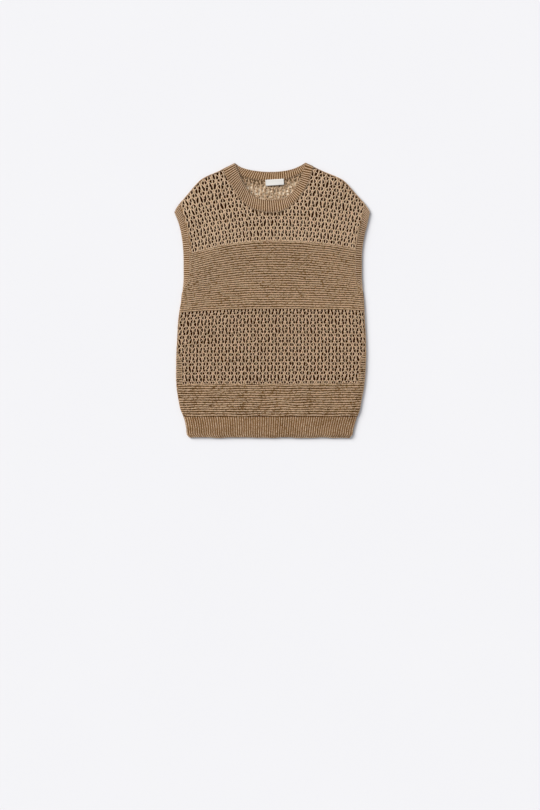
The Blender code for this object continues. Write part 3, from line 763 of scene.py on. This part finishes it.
def in_opening_below_band(x, height):
    """How deep a point lies in the part of the back yoke that shows, and a little round it."""
    return np.minimum(inside_front_neck(x, height) - 2, -0.5 - inside_back_neck(x, height))


def across_panel(x, height):
    """How far across the panel a point lies, from -1 to 1, and the panel's width there."""
    left, right = panel_sides(height)
    return (2 * x - left - right) / (right - left), right - left


def behind_front(x, height):
    """How deep a point lies in the part of the yoke that the front covers."""
    u, width = across_panel(x, height)
    return np.minimum.reduce([
        inside_outline(x, height) - MIDDLE_MARGIN, MIDDLE_UP - inside_front_neck(x, height),
        (MIDDLE_YOKE - abs(u)) * width / 2,
        height - upper_garter_top(np.clip(u, -1, 1)) + MIDDLE_DOWN])


def patch(depth, surface, cell=5.0):
    """Plain cloth over a region, given how deep inside it a point lies; its rim follows the edge."""
    x, height = np.meshgrid(*(np.arange(*reach, cell) for reach in YOKE_REACH))
    for _ in range(4):
        outside = np.clip(-depth(x, height), 0, cell / 2)
        slope_x = depth(x + 0.5, height) - depth(x - 0.5, height)
        slope_y = depth(x, height + 0.5) - depth(x, height - 0.5)
        steep = slope_x ** 2 + slope_y ** 2 + 0.05
        x, height = x + outside * slope_x / steep, height + outside * slope_y / steep
    points, faces, tone = cloth(x, height, surface(x, height))
    kept = (depth(x, height) > -0.5).ravel()[faces].all(axis=1)
    used, renumbered = np.unique(faces[kept], return_inverse=True)
    return points[used], renumbered.reshape(-1, 3), tone[used]


def yoke_area(neck):
    """Flat size of a yoke: its widest and longest, and its area up to the shoulders and neck."""
    cell = 2
    x, height = np.meshgrid(np.arange(-240.0, 240, cell), np.arange(440.0, 674, cell))
    u, _ = across_panel(x, height)
    inside = ((inside_outline(x, height) > 0) & (neck(x, height) < 0) & (abs(u) < 1)
              & (height > upper_garter_top(u)))
    size = (np.ptp(x[inside]) * MM, np.ptp(height[inside]) * MM)
    return size, float(inside.sum()) * cell ** 2 * MM * MM


back_inside = flat_at(BACK_TOP - YARN)
# A near-black sheet of painted shade between the panels, under the lower lace and the covered yoke, seen
# through the front's holes.
u, course = np.meshgrid(np.linspace(-MIDDLE_SPAN, MIDDLE_SPAN, 41),
                        np.linspace(-MIDDLE_ENDS, BODY_LACE.courses + MIDDLE_ENDS, 30))
x, height = lower_lace_place(u * BODY_WALES, course)
middle = flat_at(MIDDLE)
back_shade_sheet = back_piece("back_lace_ground", [
    cloth(x, height, middle(x, height)), patch(behind_front, middle)], painted_shade_finish)
thicken(back_shade_sheet, MIDDLE_WALL)
lower_lace_back = back_piece("back_lower_lace", lace(
    BODY_LACE, lower_lace_place, back_outside, within_outline, 13, CHEVRON), body_finish)
yoke_back = back_piece("back_yoke_lace", [
    *lace(YOKE_LACE, yoke_place, back_inside, within_shown_yoke, 14, LEG,
          (INSIDE_TONE, INSIDE_SPREAD), in_neck_opening),
    *lace(YOKE_LACE, yoke_place, back_inside, within_covered_yoke, 15, CHEVRON)], body_finish)
# A cream patch of painted light under the shown yoke, with painted shadow where the neckband falls on it.
points, faces, _ = patch(in_opening_below_band, flat_at(PAINTED_LIGHT), PAINTED_LIGHT_CELL)
below_band = -inside_back_neck(points[:, 0], points[:, 1])
tone = (PAINTED_LIGHT_UNEVEN * uneven(points[:, 0], points[:, 1], PAINTED_LIGHT_SIZE, 81) + PAINTED_LIGHT_TONE
        - BAND_SHADOW * np.clip(1 - (below_band - BAND_START) / BAND_SHADE, 0, 1))
yoke_painted_light = back_piece("back_yoke_outside", [(points, faces, tone)], painted_light_finish)
thicken(yoke_painted_light, PAINTED_LIGHT_WALL)
size, area = sheet_area(lower_garter_top, lower_lace_top)
size, area = yoke_area(inside_back_neck)


# ---- Front panel, garter bands ----
# The same bands of knitting as the back's, face up over it. The laid cloth holds a little air and a
# few soft folds, and rolls over the sides into the back.

FRONT_BOTTOM = 2.9
SOFT_LIFT = 0.9
LIFT_RUN = 26.0             # the lift fades out over this far from the garment's edge
EDGE_ROLL = 7.0
LOWER_SHADE = -0.10         # painted shade: the lower garter band is painted a little darker, as if turned away from the light
FRONT_CLEARANCE = 0.05
FRONT_UNEVEN, FRONT_UNEVEN_SIZE = 0.12, 30
GARTER_GROUND = -2.0        # the plain ground, from the front's upper face

# Soft rises and hollows of the laid cloth.
SoftFold = namedtuple("SoftFold", "x height length width turn rise")
SOFT_FOLDS = (
    SoftFold(-196, 545, 62, 11, 84, 1.3), SoftFold(205, 520, 55, 10, 97, 0.8),
    SoftFold(-112, 520, 80, 26, 55, 0.7), SoftFold(-112, 320, 42, 9, 68, 1.1),
    SoftFold(85, 345, 46, 22, 8, 1.0), SoftFold(-135, 88, 40, 18, 5, -0.8),
    SoftFold(25, 140, 60, 20, 3, 0.9), SoftFold(150, 205, 90, 24, 80, 0.6),
    SoftFold(-160, 230, 95, 22, 97, 0.7), SoftFold(0, 71, 240, 9, 0, 0.9),
    SoftFold(40, 475, 120, 16, 4, 0.5), SoftFold(-20, 250, 70, 18, 60, -0.5),
)


def soft_lift(x, height):
    """How far the front rises off the back, with its soft folds."""
    rise = SOFT_LIFT
    for fold in SOFT_FOLDS:
        turn = math.radians(fold.turn)
        along = (x - fold.x) * math.cos(turn) + (height - fold.height) * math.sin(turn)
        across = (height - fold.height) * math.cos(turn) - (x - fold.x) * math.sin(turn)
        rise = rise + fold.rise * np.exp(-(along / fold.length) ** 2 - (across / fold.width) ** 2)
    fade = np.clip(inside_outline(x, height) / LIFT_RUN, 0, 1)
    return np.maximum(rise, 0) * fade * fade * (3 - 2 * fade)


def front_top(x, height):
    """Height of the front's upper face above the table."""
    return (FRONT_BOTTOM + soft_lift(x, height) + EDGE_LIP
            + (WALL - EDGE_LIP) * rounded(inside_outline(x, height), EDGE_ROLL))


def front_yarn(x, height):
    """Where the yarn of the front's upper face lies."""
    return (front_top(x, height) - YARN - FRONT_CLEARANCE
            + FRONT_UNEVEN * uneven(x, height, FRONT_UNEVEN_SIZE, 21))


def lifted(surface, rise):
    """A surface moved up, or down by a rise below 0."""
    return lambda x, height: surface(x, height) + rise


front_piece = partial(knit_piece, node="front_panel", slot="body_knit")
ground_surface = lifted(front_top, GARTER_GROUND)
for band, seed, shade in zip(GARTER_BANDS, (22, 23), (LOWER_SHADE, 0.0)):
    knit_band(f"front_{band.name}_garter",
              ridged_cloth(band, ground_surface, columns=61, steps=4, relief=0.45),
              garter(band.place, front_yarn, within_panel, band.ridges, seed, True, shade),
              body_finish, "front_panel", "body_knit", "back_panel",
              *sheet_area(band.low, band.high))


# ---- Front panel, lace ----
# The same lace as the back's, with a deeper neck, its right side up. Garter edges run up beside the
# lower lace, and a row of round holes lies where the neckband is picked up.

ROUND_LEG = ((0.04, -0.32, -0.42), (0.20, 0.10, -0.02), (0.32, 0.72, -0.02), (0.35, 1.15, -0.42))
PICKED_DEPTH, PICKED_RADIUS, PICKED_REACH = 5.2, 3.2, 6.5   # the holes below the neckband's seam
PICKED_FROM, PICKED_TO, PICKED_COUNT = -45, 24, 9
PICKED_RIM = 0.5
EDGES_TOP = 90              # how far below the lace's top its garter edges end
EDGES_FROM, LACE_TO = -0.2, 0.8     # they and the lace overlap by this much, in wales

lace_finish = yarn_finish("camel_yarn_lace", (0.375, 0.203, 0.086), (0.82, 0.60, 0.405))
front_seam = neck_curve(NECK_FRONT, "seam")(np.linspace(0, len(NECK_FRONT) - 1, 201))
picked_holes = [(x, np.interp(x, *front_seam.T) - PICKED_DEPTH)
                for x in np.linspace(PICKED_FROM, PICKED_TO, PICKED_COUNT)]


def within_front_yoke(x, height):
    inside = within_yoke(x, height)
    for hole_x, hole_height in picked_holes:
        inside &= np.hypot(x - hole_x, height - hole_height) > PICKED_RADIUS - PICKED_RIM
    return inside


def front_yoke_place(wale, course):
    """The front's yoke, drawn into a row of round holes below the middle of the neckband."""
    x, height = yoke_place(wale, course)
    for hole_x, hole_height in picked_holes:
        away_x = x.mean(axis=1, keepdims=True) - hole_x
        away_y = height.mean(axis=1, keepdims=True) - hole_height
        distance = np.hypot(away_x, away_y) + 0.01
        push = PICKED_RADIUS * np.clip(1 - distance / PICKED_REACH, 0, None) / distance
        x, height = x + push * away_x, height + push * away_y
    return x, height


def lace_edge(x, height):
    """How many wales a point lies inside the garter edges beside the lower lace."""
    u, _ = across_panel(x, height)
    u = np.clip(u, -1, 1)
    bottom = lower_garter_top(u)
    course = (height - bottom) / (lower_lace_top(u) - bottom) * BODY_LACE.courses
    return plain_wales(course, BODY_LACE.selvedge) - BODY_WALES * (1 - abs(u))


def within_lower_lace(x, height):
    return within_outline(x, height) & (lace_edge(x, height) < LACE_TO)


def within_lace_edges(x, height):
    return (within_panel(x, height) & (lace_edge(x, height) > EDGES_FROM)
            & (lower_lace_top(0) - EDGES_TOP > height))


def front_lace(name, stretch, place, inside, seed, leg, flat):
    """A stretch of the front's lace: its stitches, and its loops as a piece of their own."""
    stitches, loops = lace(stretch, place, front_yarn, inside, seed, leg, loops=inside)
    stitches = front_piece(f"front_{name}", [stitches], lace_finish)
    loops = front_piece(f"front_{name}_loops", [loops], body_finish)


lace_edges = front_piece("front_lower_lace_edges", garter(
    lower_lace_place, front_yarn, within_lace_edges, EDGE_COURSES // 2, 29, True), body_finish)
front_lace("lower_lace", BODY_LACE, lower_lace_place, within_lower_lace, 24, LEG,
           sheet_area(lower_garter_top, lower_lace_top))
front_lace("yoke_lace", YOKE_LACE, front_yoke_place, within_front_yoke, 25, ROUND_LEG,
           yoke_area(inside_front_neck))


# ---- Shoulder seams and side folds ----
# The shoulders are linked in a chain that lies on the fold between the front and the back. At the
# shoulders and the sides, two columns of stitches turn over from the one to the other.

SHOULDER_SEAM = (574, 657)  # between these heights,
SHOULDER_INSET, SHOULDER_RISE = 1.5, 0.2        # this far inside the shoulder's edge and proud
SHOULDER_FOLD = (556, 664)
ARMHOLE_START = 372
FOLD_LEVELS = (1.5, 3.2)    # of the two columns of stitches, above the table
FOLD_INSET, FOLD_STEP = 0.9, 3
CHAIN_PITCH, CHAIN_WIDTH = 2.6, 2.9
CHAIN_TONE, CHAIN_SPREAD = 0.1, 0.08


def chain(line, surface, seed, facing=0, tone=CHAIN_TONE, width=CHAIN_WIDTH):
    """A chain of linked loops along a line, as a seam or a bound edge has it.

    It lies flat, or stands on its edge and faces to the left (-1) or right (1) of the line's way.
    """
    draw = np.random.default_rng(seed)
    run = np.concatenate([[0], np.cumsum(np.hypot(*np.diff(line, axis=0).T))])
    count = int(run[-1] / CHAIN_PITCH)
    wale, course, rise = legs(np.zeros(count), np.arange(count), draw)
    distance = course * CHAIN_PITCH
    ahead = np.gradient(line, run, axis=0)
    x, height, ahead_x, ahead_y = (np.interp(distance, run, values) for values in
                                   (*line.T, *ahead.T))
    aside, above = (facing * rise, wale * width) if facing else (wale * width, rise)
    x, height = x + aside * ahead_y, height - aside * ahead_x
    centre = np.stack([x, height, surface(x, height) + above], axis=-1)
    return strands(centre, YARN, draw.normal(tone, CHAIN_SPREAD, len(centre)))


def side_wall(left, right, low, high, seed):
    """The stitches that turn over both sides of the garment from its front to its back."""
    heights = np.linspace(low, high, max(int((high - low) / FOLD_STEP), 12))
    lines = [(np.stack([side(heights) - facing * FOLD_INSET, heights], axis=-1), facing)
             for side, facing in ((left, -1), (right, 1))]
    return [chain(line, flat_at(level), seed, facing) for line, facing in lines
            for level in FOLD_LEVELS]


heights = np.linspace(*SHOULDER_SEAM, 60)
seam_lines = [np.stack([side(heights) + inward * SHOULDER_INSET, heights], axis=-1)
              for side, inward in ((shoulder_left, 1), (shoulder_right, -1))]
front_piece("front_shoulder_seams", [
    *(chain(line, lifted(front_yarn, SHOULDER_RISE), 26) for line in seam_lines),
    *side_wall(shoulder_left, shoulder_right, *SHOULDER_FOLD, 27)], body_finish)
front_piece("front_side_folds", side_wall(
    outline_left, outline_right, HEM_SEAM, ARMHOLE_START, 28), body_finish)


# ---- Hem rib ----
# 1x1 rib, front and back, knitted below the hem seam in the same yarn and a little tighter than the
# body, which blouses over it. Its lower edge is bound off in a small chain.

HEM_WIDTH = 424
HEM_RIBS = 75
HEM_COURSES = 18
# The hem's groove tone is painted shade between the ribs.
HEM_TONE, HEM_GROOVE_SHADE = 0.20, -0.24
SEAM_COURSES, HEM_SEAM_SHADE = 0.9, -0.62    # how far the rib runs up under the body, in a groove with painted shade
BOUND_EDGE, BOUND_END = 1.0, 4          # how far in the bound edge's stitches lie, and end
HEM_WAVE, HEM_WAVE_SIZE = 1.5, 34       # and how far they are drawn up here and there
RIB_SPREAD = 0.13           # of tone from stitch to stitch
RIB_RELIEF = 0.42
RIB_SQUEEZE = 0.36          # a rib's knit column, as a share of the rib's width for a stitch
RIB_TONE = 0.47
RIB_GROUND = -1.9           # the plain cloth under the ribs, from the front's upper face
RIB_STEPS = 4               # columns of that cloth to a rib

rib_ground = lifted(front_top, RIB_GROUND)
rib_finish = yarn_finish("camel_yarn_rib", (0.358, 0.220, 0.112), (0.74, 0.555, 0.39))


def drawn_up(x):
    """How far the hem's bound edge is drawn up."""
    return HEM_WAVE * np.clip(0.5 + 0.6 * uneven(x, 0 * x, HEM_WAVE_SIZE, 35), 0, 1)


def hem_place(rib, course):
    """Place in the hem rib: rib from 0 at the left side, course up from the bound edge."""
    height = (HEM_SEAM - SEAM_GAP) * course / HEM_COURSES
    left, right = outline_left(height), outline_right(height)
    x = left + (right - left) * rib / HEM_RIBS
    return x, height + drawn_up(x) * np.clip(1 - course / HEM_COURSES, 0, 1) ** 2


def rib_stitches(place, surface, ribs, courses, seed, tone=RIB_TONE, inside=None):
    """Columns of knit stitches that stand proud between sunk purl columns."""
    draw = np.random.default_rng(seed)
    rib, course = (grid.ravel() for grid in np.meshgrid(np.arange(ribs) + 0.5, np.arange(0.0, courses)))
    wale, course, rise = legs(0 * rib, course, draw)
    column = np.repeat(rib, 2)[:, None] + wale * RIB_SQUEEZE
    x, height = place(column, course)
    if inside:
        kept = inside(x[:, 1], height[:, 1])
        x, height, rise = x[kept], height[kept], rise[kept]
    centre = np.stack([x, height, surface(x, height) + rise], axis=-1)
    return strands(centre, YARN, draw.normal(tone, RIB_SPREAD, len(centre)), sides=4)


def hem_cloth(surface):
    """The cloth under the hem's ribs, raised under each one, with painted shade between them, and its end
    in the groove of the seam, painted darker as shade.
    """
    levels = [*np.linspace(0, HEM_COURSES - 0.4, 8), HEM_COURSES - 0.1, HEM_COURSES + SEAM_COURSES]
    rib, course = np.meshgrid(np.arange(RIB_STEPS * HEM_RIBS + 1) / RIB_STEPS, levels)
    x, height = hem_place(rib, course)
    wave = -np.cos(rib * 2 * math.pi)
    in_seam = course > HEM_COURSES - 0.2
    tone = np.where(in_seam, HEM_SEAM_SHADE, HEM_GROOVE_SHADE * (1 - wave) / 2)
    return cloth(x, height, surface(x, height) + RIB_RELIEF * np.where(in_seam, -1, wave), tone)


x = np.linspace(outline_left(BOUND_EDGE) + BOUND_END, outline_right(BOUND_EDGE) - BOUND_END, 120)
bound_line = np.stack([x, drawn_up(x) + BOUND_EDGE], axis=-1)
for node, surface, ground_surface, edges in (
        ("hem_rib_front", front_yarn, rib_ground, [
            chain(bound_line, flat_at(FOLD_LEVELS[1]), 32, 1),
            *side_wall(outline_left, outline_right, BOUND_EDGE, HEM_SEAM, 33)]),
        ("hem_rib_back", back_outside, flat_at(BACK_GROUND), [
            chain(bound_line, flat_at(FOLD_LEVELS[0]), 34, 1)])):
    ribs = rib_stitches(hem_place, surface, HEM_RIBS, HEM_COURSES, 31, HEM_TONE, within_outline)
    knit_band(node, [hem_cloth(ground_surface)], [ribs, *edges], rib_finish, node, "rib_knit",
              "table", (HEM_WIDTH * MM, HEM_SEAM * MM))


# ---- Neckband ----
# One ring of 1x1 rib, picked up round the neck and folded flat over both shoulders. Its back part
# shows its inside.

NECK_WIDTH = 24
NECK_RIB = 5.8
NECK_COURSES, BACK_NECK_COURSES = 10, 8
BACK_NECK_GROUND = 1.1
# painted shade in the grooves between a band's ribs
BAND_GROOVE_SHADE = -0.43
BAND_ROWS = 6
FREE_EDGE = 0.03            # the free edge's chain, as a share of the band's width from its edge,
FREE_SINK, BACK_FREE_SINK = -0.6, -0.5          # which hangs a little over it
PICKED_EDGE, BACK_PICKED_EDGE = 1.02, 1.03      # the seam's chain, just past the band,
SEAM_SINK, BACK_SEAM_SINK = -0.55, -0.4         # lies deeper than the stitches beside it
SEAM_WIDTH, BACK_SEAM_TONE = 2.2, 0.0


class Strip:
    """One layer of a band, read by distance along its seam and by share of its width."""

    def __init__(self, edges_at, last):
        self.edges_at = edges_at
        self.values = np.linspace(0, last, 241)
        seam = edges_at(self.values)[1]
        self.run = np.concatenate([[0], np.cumsum(np.hypot(*np.diff(seam, axis=0).T))])
        self.length = self.run[-1]

    def place(self, distance, share):
        """A point at a distance along the seam; share is 0 at the free edge and 1 at the seam."""
        free, seam = self.edges_at(np.interp(distance, self.run, self.values))
        point = free + (seam - free) * np.asarray(share)[..., None]
        return point[..., 0], point[..., 1]


def band_stitches(strip, surface, pitch, courses, seed):
    """Ribs that run from a band's seam to its free edge."""
    ribs = int(round(strip.length / pitch))
    step = strip.length / ribs

    def place(rib, course):
        return strip.place(rib * step, 1 - course / courses)
    return rib_stitches(place, surface, ribs, courses, seed)


def band_cloth(strip, surface, pitch):
    """The cloth under a band's ribs, raised under each one, with painted shade in the grooves between
    them.
    """
    ribs = int(round(strip.length / pitch))
    rib = np.arange(RIB_STEPS * ribs + 1) / RIB_STEPS / ribs
    distance, share = np.meshgrid(rib * strip.length, np.linspace(0.0, 1.0, BAND_ROWS))
    x, height = strip.place(distance, share)
    wave = -np.cos(distance / strip.length * ribs * 2 * math.pi)
    return cloth(x, height, surface(x, height) + RIB_RELIEF * wave, BAND_GROOVE_SHADE * (1 - wave) / 2)


def band_edge(strip, surface, seed, share, facing=0, tone=CHAIN_TONE, width=CHAIN_WIDTH):
    """A chain along a band, at this share of the way from its free edge to its seam."""
    x, height = strip.place(np.linspace(0, strip.length, 181), share)
    return chain(np.stack([x, height], axis=-1), surface, seed, facing, tone, width)


def neck_strip(table):
    free, seam = neck_curve(table, "free"), neck_curve(table, "seam")
    return Strip(lambda station: (free(station), seam(station)), len(table) - 1)


front_strip, back_strip = neck_strip(NECK_FRONT), neck_strip(NECK_BACK)
(left_seam, left_free), (right_seam, right_free) = [
    ((end.seam_x, end.seam_height), (end.free_x, end.free_height))
    for end in (NECK_FRONT[0], NECK_FRONT[-1])]
neckband_folds = [np.linspace(left_seam, left_free, 12), np.linspace(right_free, right_seam, 12)]
knit_band("neckband", [
    band_cloth(front_strip, rib_ground, NECK_RIB),
    band_cloth(back_strip, flat_at(BACK_NECK_GROUND), NECK_RIB)], [
    band_stitches(front_strip, front_yarn, NECK_RIB, NECK_COURSES, 41),
    band_stitches(back_strip, back_inside, NECK_RIB, BACK_NECK_COURSES, 42),
    band_edge(front_strip, lifted(front_yarn, FREE_SINK), 43, FREE_EDGE, -1),
    band_edge(back_strip, lifted(back_inside, BACK_FREE_SINK), 44, FREE_EDGE, -1),
    *(chain(fold, flat_at(level), 47, -1) for fold in neckband_folds for level in FOLD_LEVELS),
    band_edge(front_strip, lifted(front_yarn, SEAM_SINK), 45, PICKED_EDGE, width=SEAM_WIDTH),
    band_edge(back_strip, lifted(back_inside, BACK_SEAM_SINK), 46, BACK_PICKED_EDGE,
              tone=BACK_SEAM_TONE, width=SEAM_WIDTH)],
    rib_finish, "neckband", "rib_knit", "front_panel",
    ((front_strip.length + back_strip.length) * MM, NECK_WIDTH * MM))


# ---- Armhole bands ----
# A ring of narrow 1x1 rib round each armhole, folded at the underarm and on the shoulder, so that a
# front and a back layer lie on each other.

# Heights of the band's free edge and of its seam, from the underarm up.
Armhole = namedtuple("Armhole", "free_height seam_height")
ARMHOLE = (
    Armhole(375, 361), Armhole(380, 371), Armhole(387, 383), Armhole(400, 400),
    Armhole(450, 451), Armhole(500, 503), Armhole(553, 573),
)
ARMHOLE_WIDTH = 14.5
ARMHOLE_RIB, ARMHOLE_COURSES = 5.3, 5
ARMHOLE_FREE, ARMHOLE_SEAM = 0.06, 1.06     # where the chains lie, as shares of the band's width


def armhole_strip(outline, panel):
    """A layer of an armhole band, between the garment's outline and a side of the panel."""
    rows = range(len(ARMHOLE))
    free_height = smooth(rows, [row.free_height for row in ARMHOLE])
    seam_height = smooth(rows, [row.seam_height for row in ARMHOLE])

    def edges_at(row):
        free, seam = free_height(row), seam_height(row)
        return (np.stack([outline(free), free], axis=-1), np.stack([panel(seam), seam], axis=-1))
    return Strip(edges_at, len(ARMHOLE) - 1)


for node, strip, facing in (
        ("armhole_band_left", armhole_strip(outline_left, panel_left), -1),
        ("armhole_band_right", armhole_strip(outline_right, panel_right), 1)):
    knit_band(node, [
        band_cloth(strip, rib_ground, ARMHOLE_RIB),
        band_cloth(strip, flat_at(BACK_GROUND), ARMHOLE_RIB)], [
        band_stitches(strip, front_yarn, ARMHOLE_RIB, ARMHOLE_COURSES, 51),
        band_stitches(strip, back_outside, ARMHOLE_RIB, ARMHOLE_COURSES, 52),
        band_edge(strip, flat_at(FOLD_LEVELS[1]), 53, ARMHOLE_FREE, facing),
        band_edge(strip, flat_at(FOLD_LEVELS[0]), 54, ARMHOLE_FREE, facing),
        band_edge(strip, lifted(front_yarn, SEAM_SINK), 55, ARMHOLE_SEAM, width=SEAM_WIDTH)],
        rib_finish, node, "rib_knit", "table", (2 * strip.length * MM, ARMHOLE_WIDTH * MM))


# ---- Neck label ----
# A short bare length of smooth white woven tape. It lies flat inside the back of the neck, on the
# yoke's knitting, and is tacked by its corners.

LABEL_SIZE = (45.0, 15.0, 0.4)
LABEL_PLACE = (6.0, 626.0)
LABEL_TILT = math.radians(3.5)
LABEL_BOTTOM = 2.75
LABEL_LIFT = 1.3            # of its lower edge, between the tacks
LABEL_FOLD, FOLD_HEIGHT = 1.6, 0.3      # width and height of its ends that are folded under
TACK_LENGTH, TACK_THREAD = 2.4, 0.22    # a tack's threads: length and half the thickness,
TACK_RISE = (0.6, 0.95, 0.6, -0.6)      # and heights along them
TACK_SPAN, TACK_THREADS = 0.42, 6
WARP_WHITE, WEFT_WHITE = (0.64, 0.62, 0.585, 1), (0.79, 0.78, 0.76, 1)
WEAVE = (("X", 380.0), ("Y", 460.0))    # its way and scale

tape_finish, tree, shader, place = new_material("white_woven_tape")
warp, weft = (add_node(tree, "TexWave", {"Vector": place, "Scale": scale, "Distortion": 0.3},
                       bands_direction=way).outputs["Fac"] for way, scale in WEAVE)
threads = add_node(tree, "Math", {0: warp, 1: weft}, operation="MULTIPLY").outputs["Value"]
white = add_node(tree, "MixRGB", {"Fac": threads, "Color1": WARP_WHITE, "Color2": WEFT_WHITE})
bump = add_node(tree, "Bump", {"Height": threads, "Strength": 0.3, "Distance": 0.0002})
feed(tree, shader, {"Base Color": white.outputs["Color"], "Normal": bump.outputs["Normal"],
                    "Roughness": 0.55, "Sheen Weight": 0.1})

across, up = np.meshgrid(np.linspace(-0.5, 0.5, 41) * LABEL_SIZE[0],
                         np.linspace(-0.5, 0.5, 9) * LABEL_SIZE[1])
free = np.cos(across / LABEL_SIZE[0] * math.pi) ** 0.6
lift = LABEL_LIFT * free * (0.5 - up / LABEL_SIZE[1]) ** 2
folded = FOLD_HEIGHT * np.clip((abs(across) - LABEL_SIZE[0] / 2 + LABEL_FOLD) * 4, 0, 1)


def on_label(across, up):
    """A point of the label, turned as it is sewn in."""
    return (LABEL_PLACE[0] + across * math.cos(LABEL_TILT) - up * math.sin(LABEL_TILT),
            LABEL_PLACE[1] + across * math.sin(LABEL_TILT) + up * math.cos(LABEL_TILT))


label = knit_piece("neck_label_tape", [cloth(
    *on_label(across, up), LABEL_BOTTOM + LABEL_SIZE[2] + lift + folded)],
    tape_finish, "neck_label", "woven_label")
thicken(label, LABEL_SIZE[2])
tack_lines = []
for end in (-1, 1):
    reach = end * (LABEL_SIZE[0] / 2 + np.linspace(-0.6, 0.4, len(TACK_RISE)) * TACK_LENGTH)
    for row in np.linspace(-TACK_SPAN, TACK_SPAN, TACK_THREADS) * LABEL_SIZE[1]:
        x, height = on_label(reach, row + 0 * reach)
        tack_lines.append(np.stack([x, height, LABEL_BOTTOM + np.array(TACK_RISE)], axis=-1))
tacks = knit_piece("neck_label_tacks", [strands(np.array(tack_lines), TACK_THREAD, sides=4)],
                   tape_finish, "neck_label", "woven_label")
